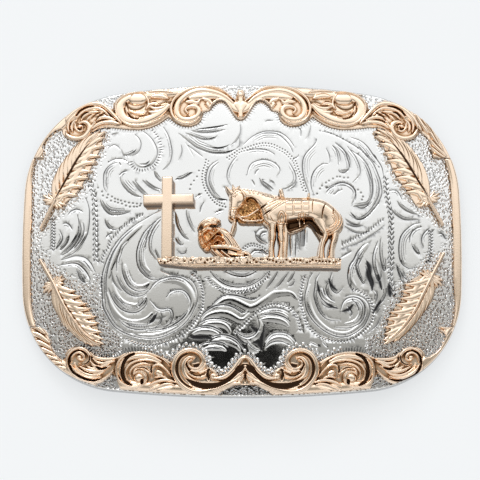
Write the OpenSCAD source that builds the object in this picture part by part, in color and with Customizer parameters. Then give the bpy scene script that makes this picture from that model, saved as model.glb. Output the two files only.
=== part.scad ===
// Western trophy buckle: a bent silver plate that carries a rose-gold scroll
// border, side bars, feathers and a raised figure group on its face, with a
// hook and a belt loop on its back. It lies face up: +X is the wearer's
// left, +Y the top edge, +Z out of the face, and the origin is under the
// middle of the plate at the level of its lowest edge.

/* [Plate] */
// Width of the plate between the two side edges
buckle_w = 108; // [100:0.5:114]
// Height of the plate at the middle
buckle_h = 77.8; // [74:0.2:82]
// How far the top and bottom edges bow out at the middle
bow_top = 5.6; // [4.6:0.1:6.6]
// How far the side edges bow out at the middle
bow_side = 2.7; // [2.2:0.1:3.4]
// Radius of the plate's corners
corner_r = 25.7; // [24:0.1:27.4]
// Thickness of the plate
plate_t = 1.6; // [1.4:0.1:1.8]
// Radius of the bend across the width
bend_w = 206; // [196:2:210]
// Radius of the bend over the height
bend_h = 420; // [420:10:600]

/* [Border] */
// Height of the scroll border over the plate's face
border_t = 1.5; // [1:0.1:1.8]
// Plain silver rim left outside the scroll border
rim_w = 0.5; // [0.3:0.1:0.8]
// Width of the gold land that follows the edge
land_w = 2.3; // [1.8:0.1:2.8]

/* [Side bars] */
// Width of each side bar
bar_w = 2.1; // [1.7:0.1:2.4]
// Height of each side bar over the plate's face
bar_t = 1.3; // [1:0.1:1.6]
// Half length of each side bar
bar_half = 21; // [19:0.5:21]

/* [Feathers] */
// Width of a feather across its vane
vane_w = 6.8; // [6:0.1:7.4]
// Height of a feather over the plate's face
feather_t = 1.4; // [1:0.1:1.6]

/* [Figure] */
// Height of the cross, the horse and the kneeling figure over the face
figure_t = 3.4; // [2.6:0.1:4]
// Width of the cross's upright
beam_w = 2.6; // [2.2:0.1:3]
// Height of the cross's arms
arm_h = 2.2; // [1.8:0.1:2.6]
// Length of the ground bar
ground_l = 44.4; // [43:0.2:45]

/* [Back] */
// Radius of the hook's prong
prong_r = 1.9; // [1.6:0.1:2]
// Lean of the prong towards the side edge, in degrees
prong_lean = 15; // [8:1:20]
// Where the prong stands, left of the middle
hook_x = -26; // [-28:0.5:-20]
// Height of the prong's end over the surface that the buckle lies on
end_clear = 0.4; // [0.3:0.1:1]
// Width of belt that passes through the loop
belt_w = 38; // [36:0.5:40]
// Radius of the belt loop's wire
wire_r = 1.4; // [1.2:0.1:1.5]

/* [Hidden] */
rim_step = (rim_w - 0.11) / 3;  // the rim narrows in three steps towards the side bars
gap = 0.05;                    // clearance under each piece that sits on the plate
silver = "#d9dbdc";
rose_gold = "#d9a988";

// radius of an arc from its chord and its bow
function bow_radius(chord, bow) = (chord * chord / 4 + bow * bow) / (2 * bow);
r_top = bow_radius(buckle_w, bow_top);
r_side = bow_radius(buckle_h, bow_side);
top_c = [0, buckle_h / 2 - r_top];         // centre of the top edge's arc
side_c = [buckle_w / 2 - r_side, 0];       // centre of the right edge's arc

// upper crossing of two circles, c1 with radius r1 and c2 with radius r2
function crossing(c1, r1, c2, r2) =
    let (d = norm(c2 - c1), a = (r1 * r1 - r2 * r2 + d * d) / (2 * d),
         h = sqrt(r1 * r1 - a * a), u = (c2 - c1) / d)
    c1 + a * u + h * [u.y, -u.x];
p_up = crossing(top_c, r_top - corner_r, side_c, r_side - corner_r);
p_dn = crossing(side_c, r_side - corner_r, top_c, r_top - corner_r);
corner_c = p_up.x + p_up.y > p_dn.x + p_dn.y ? p_up : p_dn;
t_top = top_c + r_top * (corner_c - top_c) / norm(corner_c - top_c);
t_side = side_c + r_side * (corner_c - side_c) / norm(corner_c - side_c);

// points along a quarter of the edge, and how far the back lies below the face's top there
a_side = atan2(t_side.y - side_c.y, t_side.x - side_c.x);
edge_pts = concat([for (a = [0:0.25:a_side]) side_c + r_side * [cos(a), sin(a)]],
                  [for (a = [a_side:0.5:60]) corner_c + corner_r * [cos(a), sin(a)]]);
function back_drop(x, y) =
    let (rho = bend_h - bend_w + sqrt(pow(bend_w - plate_t, 2) - x * x)) bend_h - sqrt(rho * rho - y * y);
// height of the face's highest point, so that the lowest edge rests at zero
face_z = max([for (p = edge_pts) back_drop(p.x, p.y)]);

// scroll lobes of the left half of the top border: name, x, y, radius
TOP_LOBES = [
    ["corner volute",   -40.6, 29.0, 4.6],
    ["corner leaf",     -36.6, 31.6, 4.0],
    ["leaf tail",       -32.6, 32.2, 3.4],
    ["long scroll low", -28.6, 31.8, 3.8],
    ["long scroll mid", -25.4, 32.2, 4.2],
    ["long scroll top", -21.6, 33.4, 3.6],
    ["leaf fill",       -18.4, 34.4, 2.4],
    ["volute",          -13.8, 32.6, 4.3],
    ["volute crown",    -10.2, 35.4, 3.0],
    ["crest",           -6.6, 36.2, 1.9],
    ["arch",            -3.4, 35.2, 1.9],
];
// the same for the bottom border
BOTTOM_LOBES = [
    ["corner volute",   -40.0, -29.2, 4.6],
    ["corner leaf",     -36.4, -31.8, 4.0],
    ["leaf tail",       -32.4, -32.4, 3.4],
    ["long scroll low", -28.2, -32.0, 3.8],
    ["long scroll mid", -24.4, -32.2, 4.3],
    ["long scroll top", -20.6, -33.4, 3.8],
    ["volute",          -12.2, -32.4, 4.7],
    ["volute crown",    -8.6, -34.6, 3.0],
    ["crest",           -5.0, -33.4, 2.1],
    ["arch",            -2.2, -31.2, 1.8],
];
// fluted fan at the border's upper right and lower left corners, and the leaf tip at
// the other two: the inner edge of each, seen at the right side
TOP_FAN = [[41.5, 29.2], [43.3, 27.7], [44.5, 27.6], [45.6, 26.7], [46.4, 25.4], [46.6, 23.9],
           [47.1, 22.6], [47.4, 21.4], [47.6, 20.6]];
BOTTOM_FAN = [[42.8, 30.4], [43.3, 29.3], [44.8, 28.4], [45.7, 27.1], [46.5, 25.6], [46.7, 24.1],
              [47.9, 22.6], [49.2, 21.1], [49.4, 20.6]];
TOP_LEAF = [[49.6, 23.6], [49.2, 22.5], [49.3, 21.7], [48.7, 20.9], [48.9, 20.6]];
BOTTOM_LEAF = [[49.4, 23.4], [48.8, 22.6], [48.2, 22.0], [47.8, 21.2], [48.2, 20.6]];
// what is cut off the narrow end of a side bar, seen at the lower end of the right bar
BAR_TAPER = [[45, 9], [51.55, 9], [51.75, 13], [51.85, 16], [51.6, 18.7], [51.15, 21.2], [45, 21.2]];
// limbs of the horse: name, x, y, radius at one end, x, y, radius at the other
HORSE = [
    ["ear",          -2.4, 11.9, 0.3,  -1.4, 10.6, 0.9],
    ["head",         -1.4,  9.7, 1.7,  -2.1,  4.4, 1.1],
    ["throat",       -0.4,  9.6, 1.8,   3.4,  8.8, 2.3],
    ["neck",          3.4,  8.8, 2.3,   7.6,  7.0, 3.2],
    ["barrel",        8.0,  5.8, 3.5,  17.4,  5.2, 3.5],
    ["withers",       8.8,  8.2, 1.4,  16.6,  8.0, 1.4],
    ["saddle horn",   9.6,  8.6, 0.9,  10.0, 10.6, 0.6],
    ["rump",         17.2,  5.4, 3.6,  20.8,  4.8, 3.7],
    ["fore arm",      7.6,  3.4, 1.9,   7.4, -1.2, 0.9],
    ["fore leg",      7.4, -1.2, 0.9,   6.9, -5.0, 0.8],
    ["far fore leg",  9.6,  3.0, 1.6,   9.6, -5.0, 0.8],
    ["thigh",        20.0,  3.6, 2.6,  20.8, -1.4, 1.0],
    ["hind leg",     20.8, -1.4, 0.9,  19.4, -5.0, 0.8],
    ["far thigh",    22.2,  2.8, 2.0,  22.8, -1.8, 0.9],
    ["far hind leg", 22.8, -1.8, 0.8,  22.2, -5.0, 0.8],
    ["tail",         24.0,  4.6, 0.6,  23.9, -4.4, 0.6],
    ["stirrup",      11.2,  3.2, 1.2,  11.0,  2.0, 1.0],
];
// limbs of the kneeling figure, with the same columns
KNEELER = [
    ["hat brim",    -10.4,  3.2, 0.6,  -5.8,  2.2, 0.6],
    ["bowed head",   -8.2,  2.4, 1.4,  -6.6,  1.6, 1.4],
    ["back",         -6.2,  1.2, 1.6,  -2.7, -2.2, 1.8],
    ["arm",          -6.4,  0.4, 1.0,  -9.2, -1.6, 0.9],
    ["held hat",    -10.0,  0.2, 1.2,  -9.6, -2.0, 1.0],
    ["thigh",        -3.2, -2.9, 1.7,  -7.4, -2.7, 1.2],
    ["shin",         -7.2, -4.4, 1.1,   0.0, -4.5, 1.0],
    ["boot",          0.4, -4.3, 0.9,   1.6, -3.6, 0.8],
    ["rein hand",    -2.8,  0.6, 0.7,  -3.0,  2.4, 0.7],
];
// feathers: name, quill node x, y, tip x, y, quill end x, y
FEATHERS = [
    ["upper_left",  -46.1,   9.8, -34.6,  26.9, -49.0,   3.6],
    ["upper_right",  46.0,  10.2,  33.2,  27.3,  48.9,   4.6],
    ["lower_left",  -46.0, -10.6, -33.7, -25.8, -48.9,  -5.0],
    ["lower_right",  46.0,  -9.4,  34.2, -25.3,  48.8,  -3.6],
];

// the plate's outline, moved in by e
module outline(e = 0) {
    intersection() {
        union() {
            intersection() {
                translate(top_c) circle(r_top - e, $fn = 1440);
                translate(-top_c) circle(r_top - e, $fn = 1440);
                translate(side_c) circle(r_side - e, $fn = 1440);
                translate(-side_c) circle(r_side - e, $fn = 1440);
                cut_corners();
            }
            for (sx = [-1, 1], sy = [-1, 1])
                translate([sx * corner_c.x, sy * corner_c.y]) circle(corner_r - e, $fn = 360);
        }
        square([buckle_w + 2, buckle_h + 2], center = true);
    }
}

// keeps the four long edges up to the points where the corners start
module cut_corners() {
    big = buckle_w;
    polygon([[t_top.x, big], [t_top.x, t_top.y], [t_side.x, t_side.y], [big, t_side.y],
             [big, -t_side.y], [t_side.x, -t_side.y], [t_top.x, -t_top.y], [t_top.x, -big],
             [-t_top.x, -big], [-t_top.x, -t_top.y], [-t_side.x, -t_side.y], [-big, -t_side.y],
             [-big, t_side.y], [-t_side.x, t_side.y], [-t_top.x, t_top.y], [-t_top.x, big]]);
}

// a bent layer from lo to hi above the plate's face, wider than the plate
module layer(lo, hi) {
    translate([0, 0, face_z - bend_h]) rotate([0, -90, 0]) rotate([0, 0, -7])
        rotate_extrude(angle = 14, $fn = 1440) intersection() {
            translate([bend_h - bend_w, 0]) difference() {
                circle(bend_w + hi, $fn = 1440);
                circle(bend_w + lo, $fn = 1440);
            }
            translate([bend_h - 24, -buckle_w / 2 - 3]) square([40, buckle_w + 6]);
        }
}

// a flat drawing laid over the plate, from gap to hi above its face
module laid_on(hi) {
    intersection() {
        layer(gap, hi);
        linear_extrude(30) children();
    }
}

// two round ends of their own radius, joined by their outer tangents
module limb(x1, y1, r1, x2, y2, r2) {
    d = norm([x2 - x1, y2 - y1]);
    along = atan2(y2 - y1, x2 - x1);
    lean = acos((r1 - r2) / d);
    translate([x1, y1]) circle(r1, $fn = 48);
    translate([x2, y2]) circle(r2, $fn = 48);
    polygon([for (s = [1, -1]) [x1, y1] + r1 * [cos(along + s * lean), sin(along + s * lean)],
             for (s = [-1, 1]) [x2, y2] + r2 * [cos(along + s * lean), sin(along + s * lean)]]);
}

module limbs(table) {
    for (row = table) limb(row[1], row[2], row[3], row[4], row[5], row[6]);
}

// one scroll border: lobes on both halves, a land along the edge, a drop at the middle
module scroll_border(table, side, drop_y) {
    intersection() {
        union() {
            outline(rim_w);
            // towards the side bars the border reaches out to the plate's edge
            for (k = [1:3]) difference() {
                outline(rim_w - k * rim_step);
                square([2 * (36 + 2.5 * k), buckle_h + 2], center = true);
            }
        }
        union() {
            for (m = [-1, 1], row = table) translate([-m * row[1], row[2]]) circle(row[3], $fn = 64);
            // land along the edge, and down round the corner to the side bar
            difference() {
                outline(rim_w - 3 * rim_step);
                difference() {
                    outline(rim_w + land_w - 0.8);
                    corner_piece(side, 1, side > 0 ? TOP_FAN : BOTTOM_LEAF);
                    corner_piece(side, -1, side > 0 ? TOP_LEAF : BOTTOM_FAN);
                }
                beyond_corner(side);
            }
            difference() {
                outline(rim_w);
                outline(rim_w + land_w);
                for (m = [-1, 1]) translate([m * buckle_w, 0])
                    square([2 * (buckle_w - 34), 2 * buckle_h], center = true);
                beyond_corner(side);
            }
            // centre bud with its drop
            limb(0, side * (buckle_h / 2 - 3.2), 2, 0, side * drop_y, 0.5);
        }
    }
}

// from an inner edge out past the plate's corner
module corner_piece(side, m, inner) {
    far = [buckle_w, buckle_h];
    polygon([for (p = concat(inner, [[far.x, inner[len(inner) - 1].y], far, [inner[0].x + 6, far.y]]))
             [m * p.x, side * p.y]]);
}

// everything past the side bars' ends, seen from the top or bottom border
module beyond_corner(side) {
    y0 = side > 0 ? -buckle_h : -bar_half - 0.15;
    translate([-buckle_w, y0]) square([2 * buckle_w, buckle_h + bar_half + 0.15]);
}

module feather_shape(row) {
    len = norm([row[3] - row[1], row[4] - row[2]]);
    along = atan2(row[4] - row[2], row[3] - row[1]);
    arc_r = bow_radius(len + 3, vane_w / 2);
    translate([row[1], row[2]]) rotate(along) intersection() {
        translate([len / 2 - 1.2, vane_w / 2 - arc_r]) circle(arc_r, $fn = 180);
        translate([len / 2 - 1.2, arc_r - vane_w / 2]) circle(arc_r, $fn = 180);
        translate([-1.8, -vane_w]) square([len + 1.9, 2 * vane_w]);
    }
    limb(row[1], row[2], 0.9, row[5], row[6], 0.5);
}

module plate() color(silver) intersection() {
    layer(-plate_t, 0);
    translate([0, 0, -1]) linear_extrude(30) outline();
}

module border_top() color(rose_gold) laid_on(border_t) scroll_border(TOP_LOBES, 1, 30.7);

module border_bottom() color(rose_gold) laid_on(border_t) scroll_border(BOTTOM_LOBES, -1, 33);

module side_bar(side) laid_on(bar_t) intersection() {
    difference() {
        outline(0.1);
        outline(0.1 + bar_w);
        // the end beside the leaf tip is narrower
        polygon([for (p = BAR_TAPER) [side * p.x, -side * p.y]]);
    }
    translate([side > 0 ? 0 : -buckle_w, -bar_half]) square([buckle_w, 2 * bar_half]);
}

module side_bar_left() color(rose_gold) side_bar(-1);

module side_bar_right() color(rose_gold) side_bar(1);

module feather_upper_left() color(rose_gold) laid_on(feather_t) feather_shape(FEATHERS[0]);

module feather_upper_right() color(rose_gold) laid_on(feather_t) feather_shape(FEATHERS[1]);

module feather_lower_left() color(rose_gold) laid_on(feather_t) feather_shape(FEATHERS[2]);

module feather_lower_right() color(rose_gold) laid_on(feather_t) feather_shape(FEATHERS[3]);

module cross() color(rose_gold) laid_on(figure_t) {
    translate([-18.3 - beam_w / 2, -5.6]) square([beam_w, 20.4]);
    translate([-24.3, 8.9 - arm_h / 2]) square([12.4, arm_h]);
}

module kneeling_figure() color(rose_gold) laid_on(figure_t) limbs(KNEELER);

module horse() color(rose_gold) laid_on(figure_t) difference() {
    limbs(HORSE);
    translate([-5, -16]) square([40, 10.4]);
}

module ground_bar() color(rose_gold) laid_on(figure_t - 0.2)
    difference() {
        limb(-20.5 + 1.15, -6.85, 1.15, -20.5 + ground_l - 1.15, -6.85, 1.15);
        translate([-30, -5.7]) square([60, 4]);
    }

// prong on a round foot, below the plate's back, leaning to the left side edge
module hook() color(silver) {
    foot_z = face_z - back_drop(hook_x, 0) - gap;
    cap = 0.4;                     // how far the end is rounded past the straight prong
    shoulder = 1.65;               // where the shoulder ends, along the prong
    end_r = sqrt(prong_r * prong_r - cap * cap);
    prong_l = (foot_z - 0.5 - end_clear - end_r * sin(prong_lean)) / cos(prong_lean) - cap;
    intersection() {
        layer(-plate_t - gap - 0.8, -plate_t - gap);
        translate([hook_x, 0, 0]) cylinder(h = 20, r = prong_r + 1.4, $fn = 64);
    }
    difference() {
        translate([hook_x, 0, foot_z - 0.5]) rotate([0, prong_lean, 0]) {
            translate([0, 0, -prong_l]) cylinder(h = prong_l, r = prong_r, $fn = 64);
            // shoulder that the belt's hole comes up to
            translate([0, 0, -shoulder]) cylinder(h = shoulder, r = prong_r + 0.5, $fn = 64);
            translate([0, 0, -prong_l]) rotate_extrude($fn = 64) intersection() {
                circle(prong_r, $fn = 64);
                translate([0, -cap]) square([prong_r, 1]);
            }
        }
        translate([hook_x - 10, -10, foot_z - 0.3]) cube([20, 20, 10]);
    }
}

// closed wire loop that lies under the back, held by two lugs
module belt_loop() color(silver) {
    z0 = 2;
    xin = 13;                      // wire centre nearest the middle
    xout = 27;                     // wire centre nearest the side edge
    half = belt_w / 2 + 0.6 + wire_r;
    bend = 3;
    for (x = [xin, xout]) translate([x, 0, z0]) rotate([90, 0, 0])
        cylinder(h = 2 * (half - bend), r = wire_r, center = true, $fn = 48);
    for (s = [-1, 1]) translate([(xin + xout) / 2, s * half, z0]) rotate([0, 90, 0])
        cylinder(h = xout - xin - 2 * bend, r = wire_r, center = true, $fn = 48);
    for (c = [[xin + bend, half - bend, 90], [xin + bend, bend - half, 180],
              [xout - bend, bend - half, 270], [xout - bend, half - bend, 0]])
        translate([c[0], c[1], z0]) rotate([0, 0, c[2]])
            rotate_extrude(angle = 90, $fn = 96) translate([bend, 0]) circle(wire_r, $fn = 48);
    intersection() {
        layer(-plate_t - 8, -plate_t - gap);
        for (s = [-1, 1]) translate([xin - 2.2, s * 12 - 3, z0]) cube([4.4, 6, 12]);
    }
}

plate();
border_top();
border_bottom();
side_bar_left();
side_bar_right();
feather_upper_left();
feather_upper_right();
feather_lower_left();
feather_lower_right();
cross();
kneeling_figure();
horse();
ground_bar();
hook();
belt_loop();
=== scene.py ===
"""Looks of the western buckle: engraved silver face, relief of the rose-gold pieces, satin back."""
import math

import bpy
import numpy as np
from mathutils import Matrix, Vector
from mathutils.geometry import delaunay_2d_cdt


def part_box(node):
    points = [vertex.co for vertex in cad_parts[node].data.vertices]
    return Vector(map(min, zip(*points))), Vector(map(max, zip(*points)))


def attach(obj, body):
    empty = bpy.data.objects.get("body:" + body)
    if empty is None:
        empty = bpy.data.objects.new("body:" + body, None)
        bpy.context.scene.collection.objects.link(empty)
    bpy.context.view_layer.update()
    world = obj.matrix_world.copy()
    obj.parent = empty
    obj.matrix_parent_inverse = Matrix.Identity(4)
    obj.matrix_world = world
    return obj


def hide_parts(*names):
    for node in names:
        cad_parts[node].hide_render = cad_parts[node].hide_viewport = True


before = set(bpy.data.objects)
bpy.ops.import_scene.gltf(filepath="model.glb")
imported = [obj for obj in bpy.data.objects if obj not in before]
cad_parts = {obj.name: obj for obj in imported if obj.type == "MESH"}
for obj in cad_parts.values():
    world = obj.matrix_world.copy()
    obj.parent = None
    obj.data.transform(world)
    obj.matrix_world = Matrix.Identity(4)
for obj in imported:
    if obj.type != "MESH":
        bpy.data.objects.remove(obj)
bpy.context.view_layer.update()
scene = bpy.context.scene

# ---------------------------------------------------------------- plate and camera geometry, in mm
BEND_W, BEND_H = 206.0, 420.0
WIDE, HIGH = 108.0, 77.8
BOW_TOP, BOW_SIDE, CORNER = 5.6, 2.7, 25.7
FACE_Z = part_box("plate")[1].z * 1000
PLATE_T = 1.6
TILT = math.radians(12)
CAM_D, CAM_F, CAM_X, CAM_Y = 500.0, 2062.0, 242.0, 236.9
PX = CAM_D / CAM_F                        # one photo pixel on the face, in mm


def surf(x, y, h=0.0):
    """Height of the layer h above the bent face."""
    rho = BEND_H - BEND_W + np.sqrt((BEND_W + h) ** 2 - x * x)
    return FACE_Z - BEND_H + np.sqrt(rho * rho - y * y)


UP = np.array([0, math.cos(TILT), math.sin(TILT)])
BACK = np.array([0, -math.sin(TILT), math.cos(TILT)])
CAM = BACK * CAM_D + np.array([0, 0, FACE_Z])


def on_face(pts, h=0.0):
    """Where the face's layer h shows at these picture points, as x and y in mm."""
    p = np.asarray(pts, float).reshape(-1, 2)
    d = np.stack([(p[:, 0] - CAM_X) / CAM_F,
                  -(p[:, 1] - CAM_Y) / CAM_F * UP[1] - BACK[1],
                  -(p[:, 1] - CAM_Y) / CAM_F * UP[2] - BACK[2]], -1)
    t = np.full(len(p), CAM_D)
    for _ in range(12):
        q = CAM + d * t[:, None]
        t += (q[:, 2] - surf(q[:, 0], q[:, 1], h)) / -d[:, 2]
    q = CAM + d * t[:, None]
    return q[:, :2]


def bow_radius(chord, bow):
    return (chord * chord / 4 + bow * bow) / (2 * bow)


R_TOP, R_SIDE = bow_radius(WIDE, BOW_TOP), bow_radius(HIGH, BOW_SIDE)
C_TOP = np.array([0, HIGH / 2 - R_TOP])
C_SIDE = np.array([WIDE / 2 - R_SIDE, 0])


def crossing(c1, r1, c2, r2):
    d = np.hypot(*(c2 - c1))
    a = (r1 * r1 - r2 * r2 + d * d) / (2 * d)
    h = math.sqrt(r1 * r1 - a * a)
    u = (c2 - c1) / d
    found = [c1 + a * u + s * h * np.array([u[1], -u[0]]) for s in (1, -1)]
    return max(found, key=lambda p: p.sum())


C_CORNER = crossing(C_TOP, R_TOP - CORNER, C_SIDE, R_SIDE - CORNER)


def outline(x, y):
    """Signed distance to the plate's outline, negative inside."""
    ax, ay = np.abs(x), np.abs(y)
    top = np.hypot(ax - C_TOP[0], ay - C_TOP[1]) - R_TOP
    side = np.hypot(ax - C_SIDE[0], ay - C_SIDE[1]) - R_SIDE
    corner = np.hypot(ax - C_CORNER[0], ay - C_CORNER[1]) - CORNER
    us, ut = C_CORNER - C_SIDE, C_CORNER - C_TOP
    vx, vy = ax - C_CORNER[0], ay - C_CORNER[1]
    in_corner = (us[0] * vy - us[1] * vx >= 0) & (vx * ut[1] - vy * ut[0] >= 0)
    return np.where(in_corner, corner, np.maximum(top, side))


# ---------------------------------------------------------------- fields
def smooth_path(p, gap=0.45):
    """A Catmull-Rom curve through the points, sampled about every gap mm."""
    p = np.asarray(p, float)
    if len(p) < 3:
        n = max(2, int(np.hypot(*(p[-1] - p[0])) / gap) + 1)
        return p[0] + (p[-1] - p[0]) * np.linspace(0, 1, n)[:, None]
    q = np.vstack([2 * p[0] - p[1], p, 2 * p[-1] - p[-2]])
    out = [p[:1]]
    for i in range(1, len(q) - 2):
        a, b, c, d = q[i - 1:i + 3]
        n = max(2, int(np.hypot(*(c - b)) / gap) + 1)
        t = np.linspace(0, 1, n + 1)[1:, None]
        out.append(0.5 * (2 * b + (c - a) * t + (2 * a - 5 * b + 4 * c - d) * t ** 2
                          + (3 * b - a - 3 * c + d) * t ** 3))
    return np.vstack(out)


def taper(t, both=True):
    """How a cut swells along its length: both ends thin, or one, or none."""
    t = np.clip(t, 0, 1)
    if both is True:
        v = np.clip(np.sin(np.pi * t), 0, 1) ** 0.55
    elif both == "in":
        v = (1 - t) ** 0.6
    elif both == "out":
        v = t ** 0.6
    else:
        v = np.ones_like(t)
    return 0.12 + 0.88 * v


def shifted(p, by):
    """The path moved sideways to its left by this much."""
    t = np.gradient(p, axis=0)
    t /= np.maximum(np.hypot(t[:, 0], t[:, 1]), 1e-9)[:, None]
    return p + np.stack([-t[:, 1], t[:, 0]], -1) * np.asarray(by).reshape(-1, 1)


def turning(p):
    """Positive where the path as a whole bends to its left."""
    d = np.diff(p, axis=0)
    a = np.unwrap(np.arctan2(d[:, 1], d[:, 0]))
    return a[-1] - a[0]


def box_blur(a, r):
    for axis in (0, 1):
        for _ in range(2):
            pad = [(0, 0), (0, 0)]
            pad[axis] = (r + 1, r)
            c = np.cumsum(np.pad(a, pad, mode="edge"), axis=axis)
            n = a.shape[axis]
            hi = np.take(c, range(2 * r + 1, 2 * r + 1 + n), axis=axis)
            lo = np.take(c, range(0, n), axis=axis)
            a = (hi - lo) / (2 * r + 1)
    return a


def value_noise(x, y, cell, seed):
    """Smooth random values from 0 to 1."""
    rng = np.random.default_rng(seed)
    table = rng.random((256, 256))
    u, v = x / cell + 100.3, y / cell + 100.7
    i, j = np.floor(u).astype(int), np.floor(v).astype(int)
    fx, fy = u - i, v - j
    fx, fy = fx * fx * (3 - 2 * fx), fy * fy * (3 - 2 * fy)
    g = lambda a, b: table[a % 256, b % 256]
    return ((g(i, j) * (1 - fx) + g(i + 1, j) * fx) * (1 - fy)
            + (g(i, j + 1) * (1 - fx) + g(i + 1, j + 1) * fx) * fy)


class Field:
    """Heights over the face on a regular grid, with the signed distance to the piece's edge."""

    def __init__(self, x0, y0, x1, y1, step):
        self.step = step
        self.x = x0 + step * np.arange(int(round((x1 - x0) / step)) + 1)
        self.y = y0 + step * np.arange(int(round((y1 - y0) / step)) + 1)
        self.X, self.Y = np.meshgrid(self.x, self.y)
        self.H = np.zeros_like(self.X)
        self.D = np.full_like(self.X, 9.0)
        self.cut = np.zeros_like(self.X)
        # darkening, carried to the piece's darkening attribute: tarnish in cuts and hollows together with painted shade
        self.dark = np.zeros_like(self.X)
        self.floors, self.rims = [], []

    def window(self, lo, hi):
        i0 = max(int(math.floor((lo[0] - self.x[0]) / self.step)), 0)
        i1 = min(int(math.ceil((hi[0] - self.x[0]) / self.step)) + 1, len(self.x))
        j0 = max(int(math.floor((lo[1] - self.y[0]) / self.step)), 0)
        j1 = min(int(math.ceil((hi[1] - self.y[0]) / self.step)) + 1, len(self.y))
        return (slice(j0, j1), slice(i0, i1)) if i1 > i0 and j1 > j0 else None

    def trace(self, p, rad):
        """Round a path: the window, the distance, the side (1 left) and the place along it, 0 to 1."""
        w = self.window(p.min(0) - rad, p.max(0) + rad)
        if w is None:
            return None
        j0, i0 = w[0].start, w[1].start
        shape = (w[0].stop - j0, w[1].stop - i0)
        best, along, side = np.full(shape, 1e3), np.zeros(shape), np.ones(shape)
        seg = np.diff(p, axis=0)
        length = np.hypot(seg[:, 0], seg[:, 1])
        start = np.r_[0, np.cumsum(length)]
        total = max(start[-1], 1e-9)
        for k in range(len(seg)):
            if length[k] < 1e-9:
                continue
            a, b = p[k], p[k + 1]
            s = self.window(np.minimum(a, b) - rad, np.maximum(a, b) + rad)
            if s is None:
                continue
            x = self.x[s[1]][None, :] - a[0]
            y = self.y[s[0]][:, None] - a[1]
            dx, dy = seg[k]
            t = np.clip((x * dx + y * dy) / length[k] ** 2, 0, 1)
            d = np.hypot(x - t * dx, y - t * dy)
            v = (slice(s[0].start - j0, s[0].stop - j0), slice(s[1].start - i0, s[1].stop - i0))
            near = d < best[v]
            best[v] = np.where(near, d, best[v])
            along[v] = np.where(near, (start[k] + t * length[k]) / total, along[v])
            side[v] = np.where(near, np.where(dx * y - dy * x >= 0, 1.0, -1.0), side[v])
        return w, best, side, along

    def sample(self, a, p):
        u = np.clip((p[:, 0] - self.x[0]) / self.step, 0, len(self.x) - 1.001)
        v = np.clip((p[:, 1] - self.y[0]) / self.step, 0, len(self.y) - 1.001)
        i, j = u.astype(int), v.astype(int)
        fx, fy = u - i, v - j
        return ((a[j, i] * (1 - fx) + a[j, i + 1] * fx) * (1 - fy)
                + (a[j + 1, i] * (1 - fx) + a[j + 1, i + 1] * fx) * fy)

    # raised shapes
    def ribbon(self, p, r, top, base=0.5, sides=None, edge=True, power=2.0):
        """A rounded band along a path. r is its half width at evenly spaced places along it."""
        r = np.atleast_1d(np.asarray(r, float))
        got = self.trace(p, r.max() + 0.3)
        if got is None:
            return
        w, d, side, t = got
        rr = np.interp(t, np.linspace(0, 1, len(r)), r)
        u = np.clip(d / np.maximum(rr, 1e-6), 0, 1)
        low = base if sides is None else sides
        h = low + (top - low) * np.sqrt(np.clip(1 - u ** power, 0, 1))
        self.H[w] = np.where(u < 1, np.maximum(self.H[w], h), self.H[w])
        if edge:
            self.D[w] = np.minimum(self.D[w], d - rr)

    def groove(self, p, width, depth, dark=0.6, lean=0.0, both=True, line_w=0.19, gap=0.27, add=False):
        """A cut along a path, width across, tapered at its ends. lean puts its broad wall left (1) or right (-1)."""
        got = self.trace(p, width)
        if got is None:
            return
        w, d, side, t = got
        swell = taper(t, both)
        s = d * side
        # mesh points on the cut's floor line and on its two edges
        seg = np.hypot(*np.diff(p, axis=0).T)
        run = np.r_[0, np.cumsum(seg)]
        at = np.linspace(0, run[-1], max(2, int(round(run[-1] / gap))) + 1)
        q = np.stack([np.interp(at, run, p[:, 0]), np.interp(at, run, p[:, 1])], -1)
        across = np.gradient(q, axis=0)
        across = np.stack([-across[:, 1], across[:, 0]], -1) / np.maximum(np.hypot(*across.T), 1e-9)[:, None]
        wide = (width * taper(at / max(run[-1], 1e-9), both))[:, None]
        self.floors.append(q)
        for part in (0.5 + 0.36 * lean, -(0.5 - 0.36 * lean)):
            self.rims.append(q + across * wide * part)
            if width > 0.4:
                self.rims.append(q + across * np.sign(part) * np.minimum(wide * abs(part) * 0.5, 0.15))
        left = np.maximum(width * swell * (0.5 + 0.36 * lean), 1e-3)
        right = np.maximum(width * swell * (0.5 - 0.36 * lean), 1e-3)
        prof = np.clip(np.where(s > 0, 1 - s / left, 1 + s / right), 0, 1)
        deep = depth * swell * prof
        self.cut[w] = self.cut[w] + deep if add else np.maximum(self.cut[w], deep)
        # painted: the cut's floor line is darkened, tarnish in the cut together with painted shade where its walls
        # would reflect dark
        line = np.clip(1 - np.abs(s) / np.maximum(np.minimum(line_w, left + right) * swell, 1e-3), 0, 1)
        self.dark[w] = np.maximum(self.dark[w], dark * np.clip(1.6 * line + 0.22 * prof, 0, 1))

    def pit(self, p, r, depth, dark=0.6):
        for q in np.atleast_2d(p):
            w = self.window(q - r, q + r)
            if w is None:
                continue
            d = np.hypot(self.x[w[1]][None, :] - q[0], self.y[w[0]][:, None] - q[1]) / r
            prof = np.clip(1 - d, 0, 1)
            self.cut[w] = np.maximum(self.cut[w], depth * prof)
            self.dark[w] = np.maximum(self.dark[w], dark * np.clip(1.5 * prof, 0, 1))
            a = np.arange(6) * np.pi / 3
            self.floors.append(q[None, :])
            self.rims.append(q + r * np.stack([np.cos(a), np.sin(a)], -1))

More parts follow.
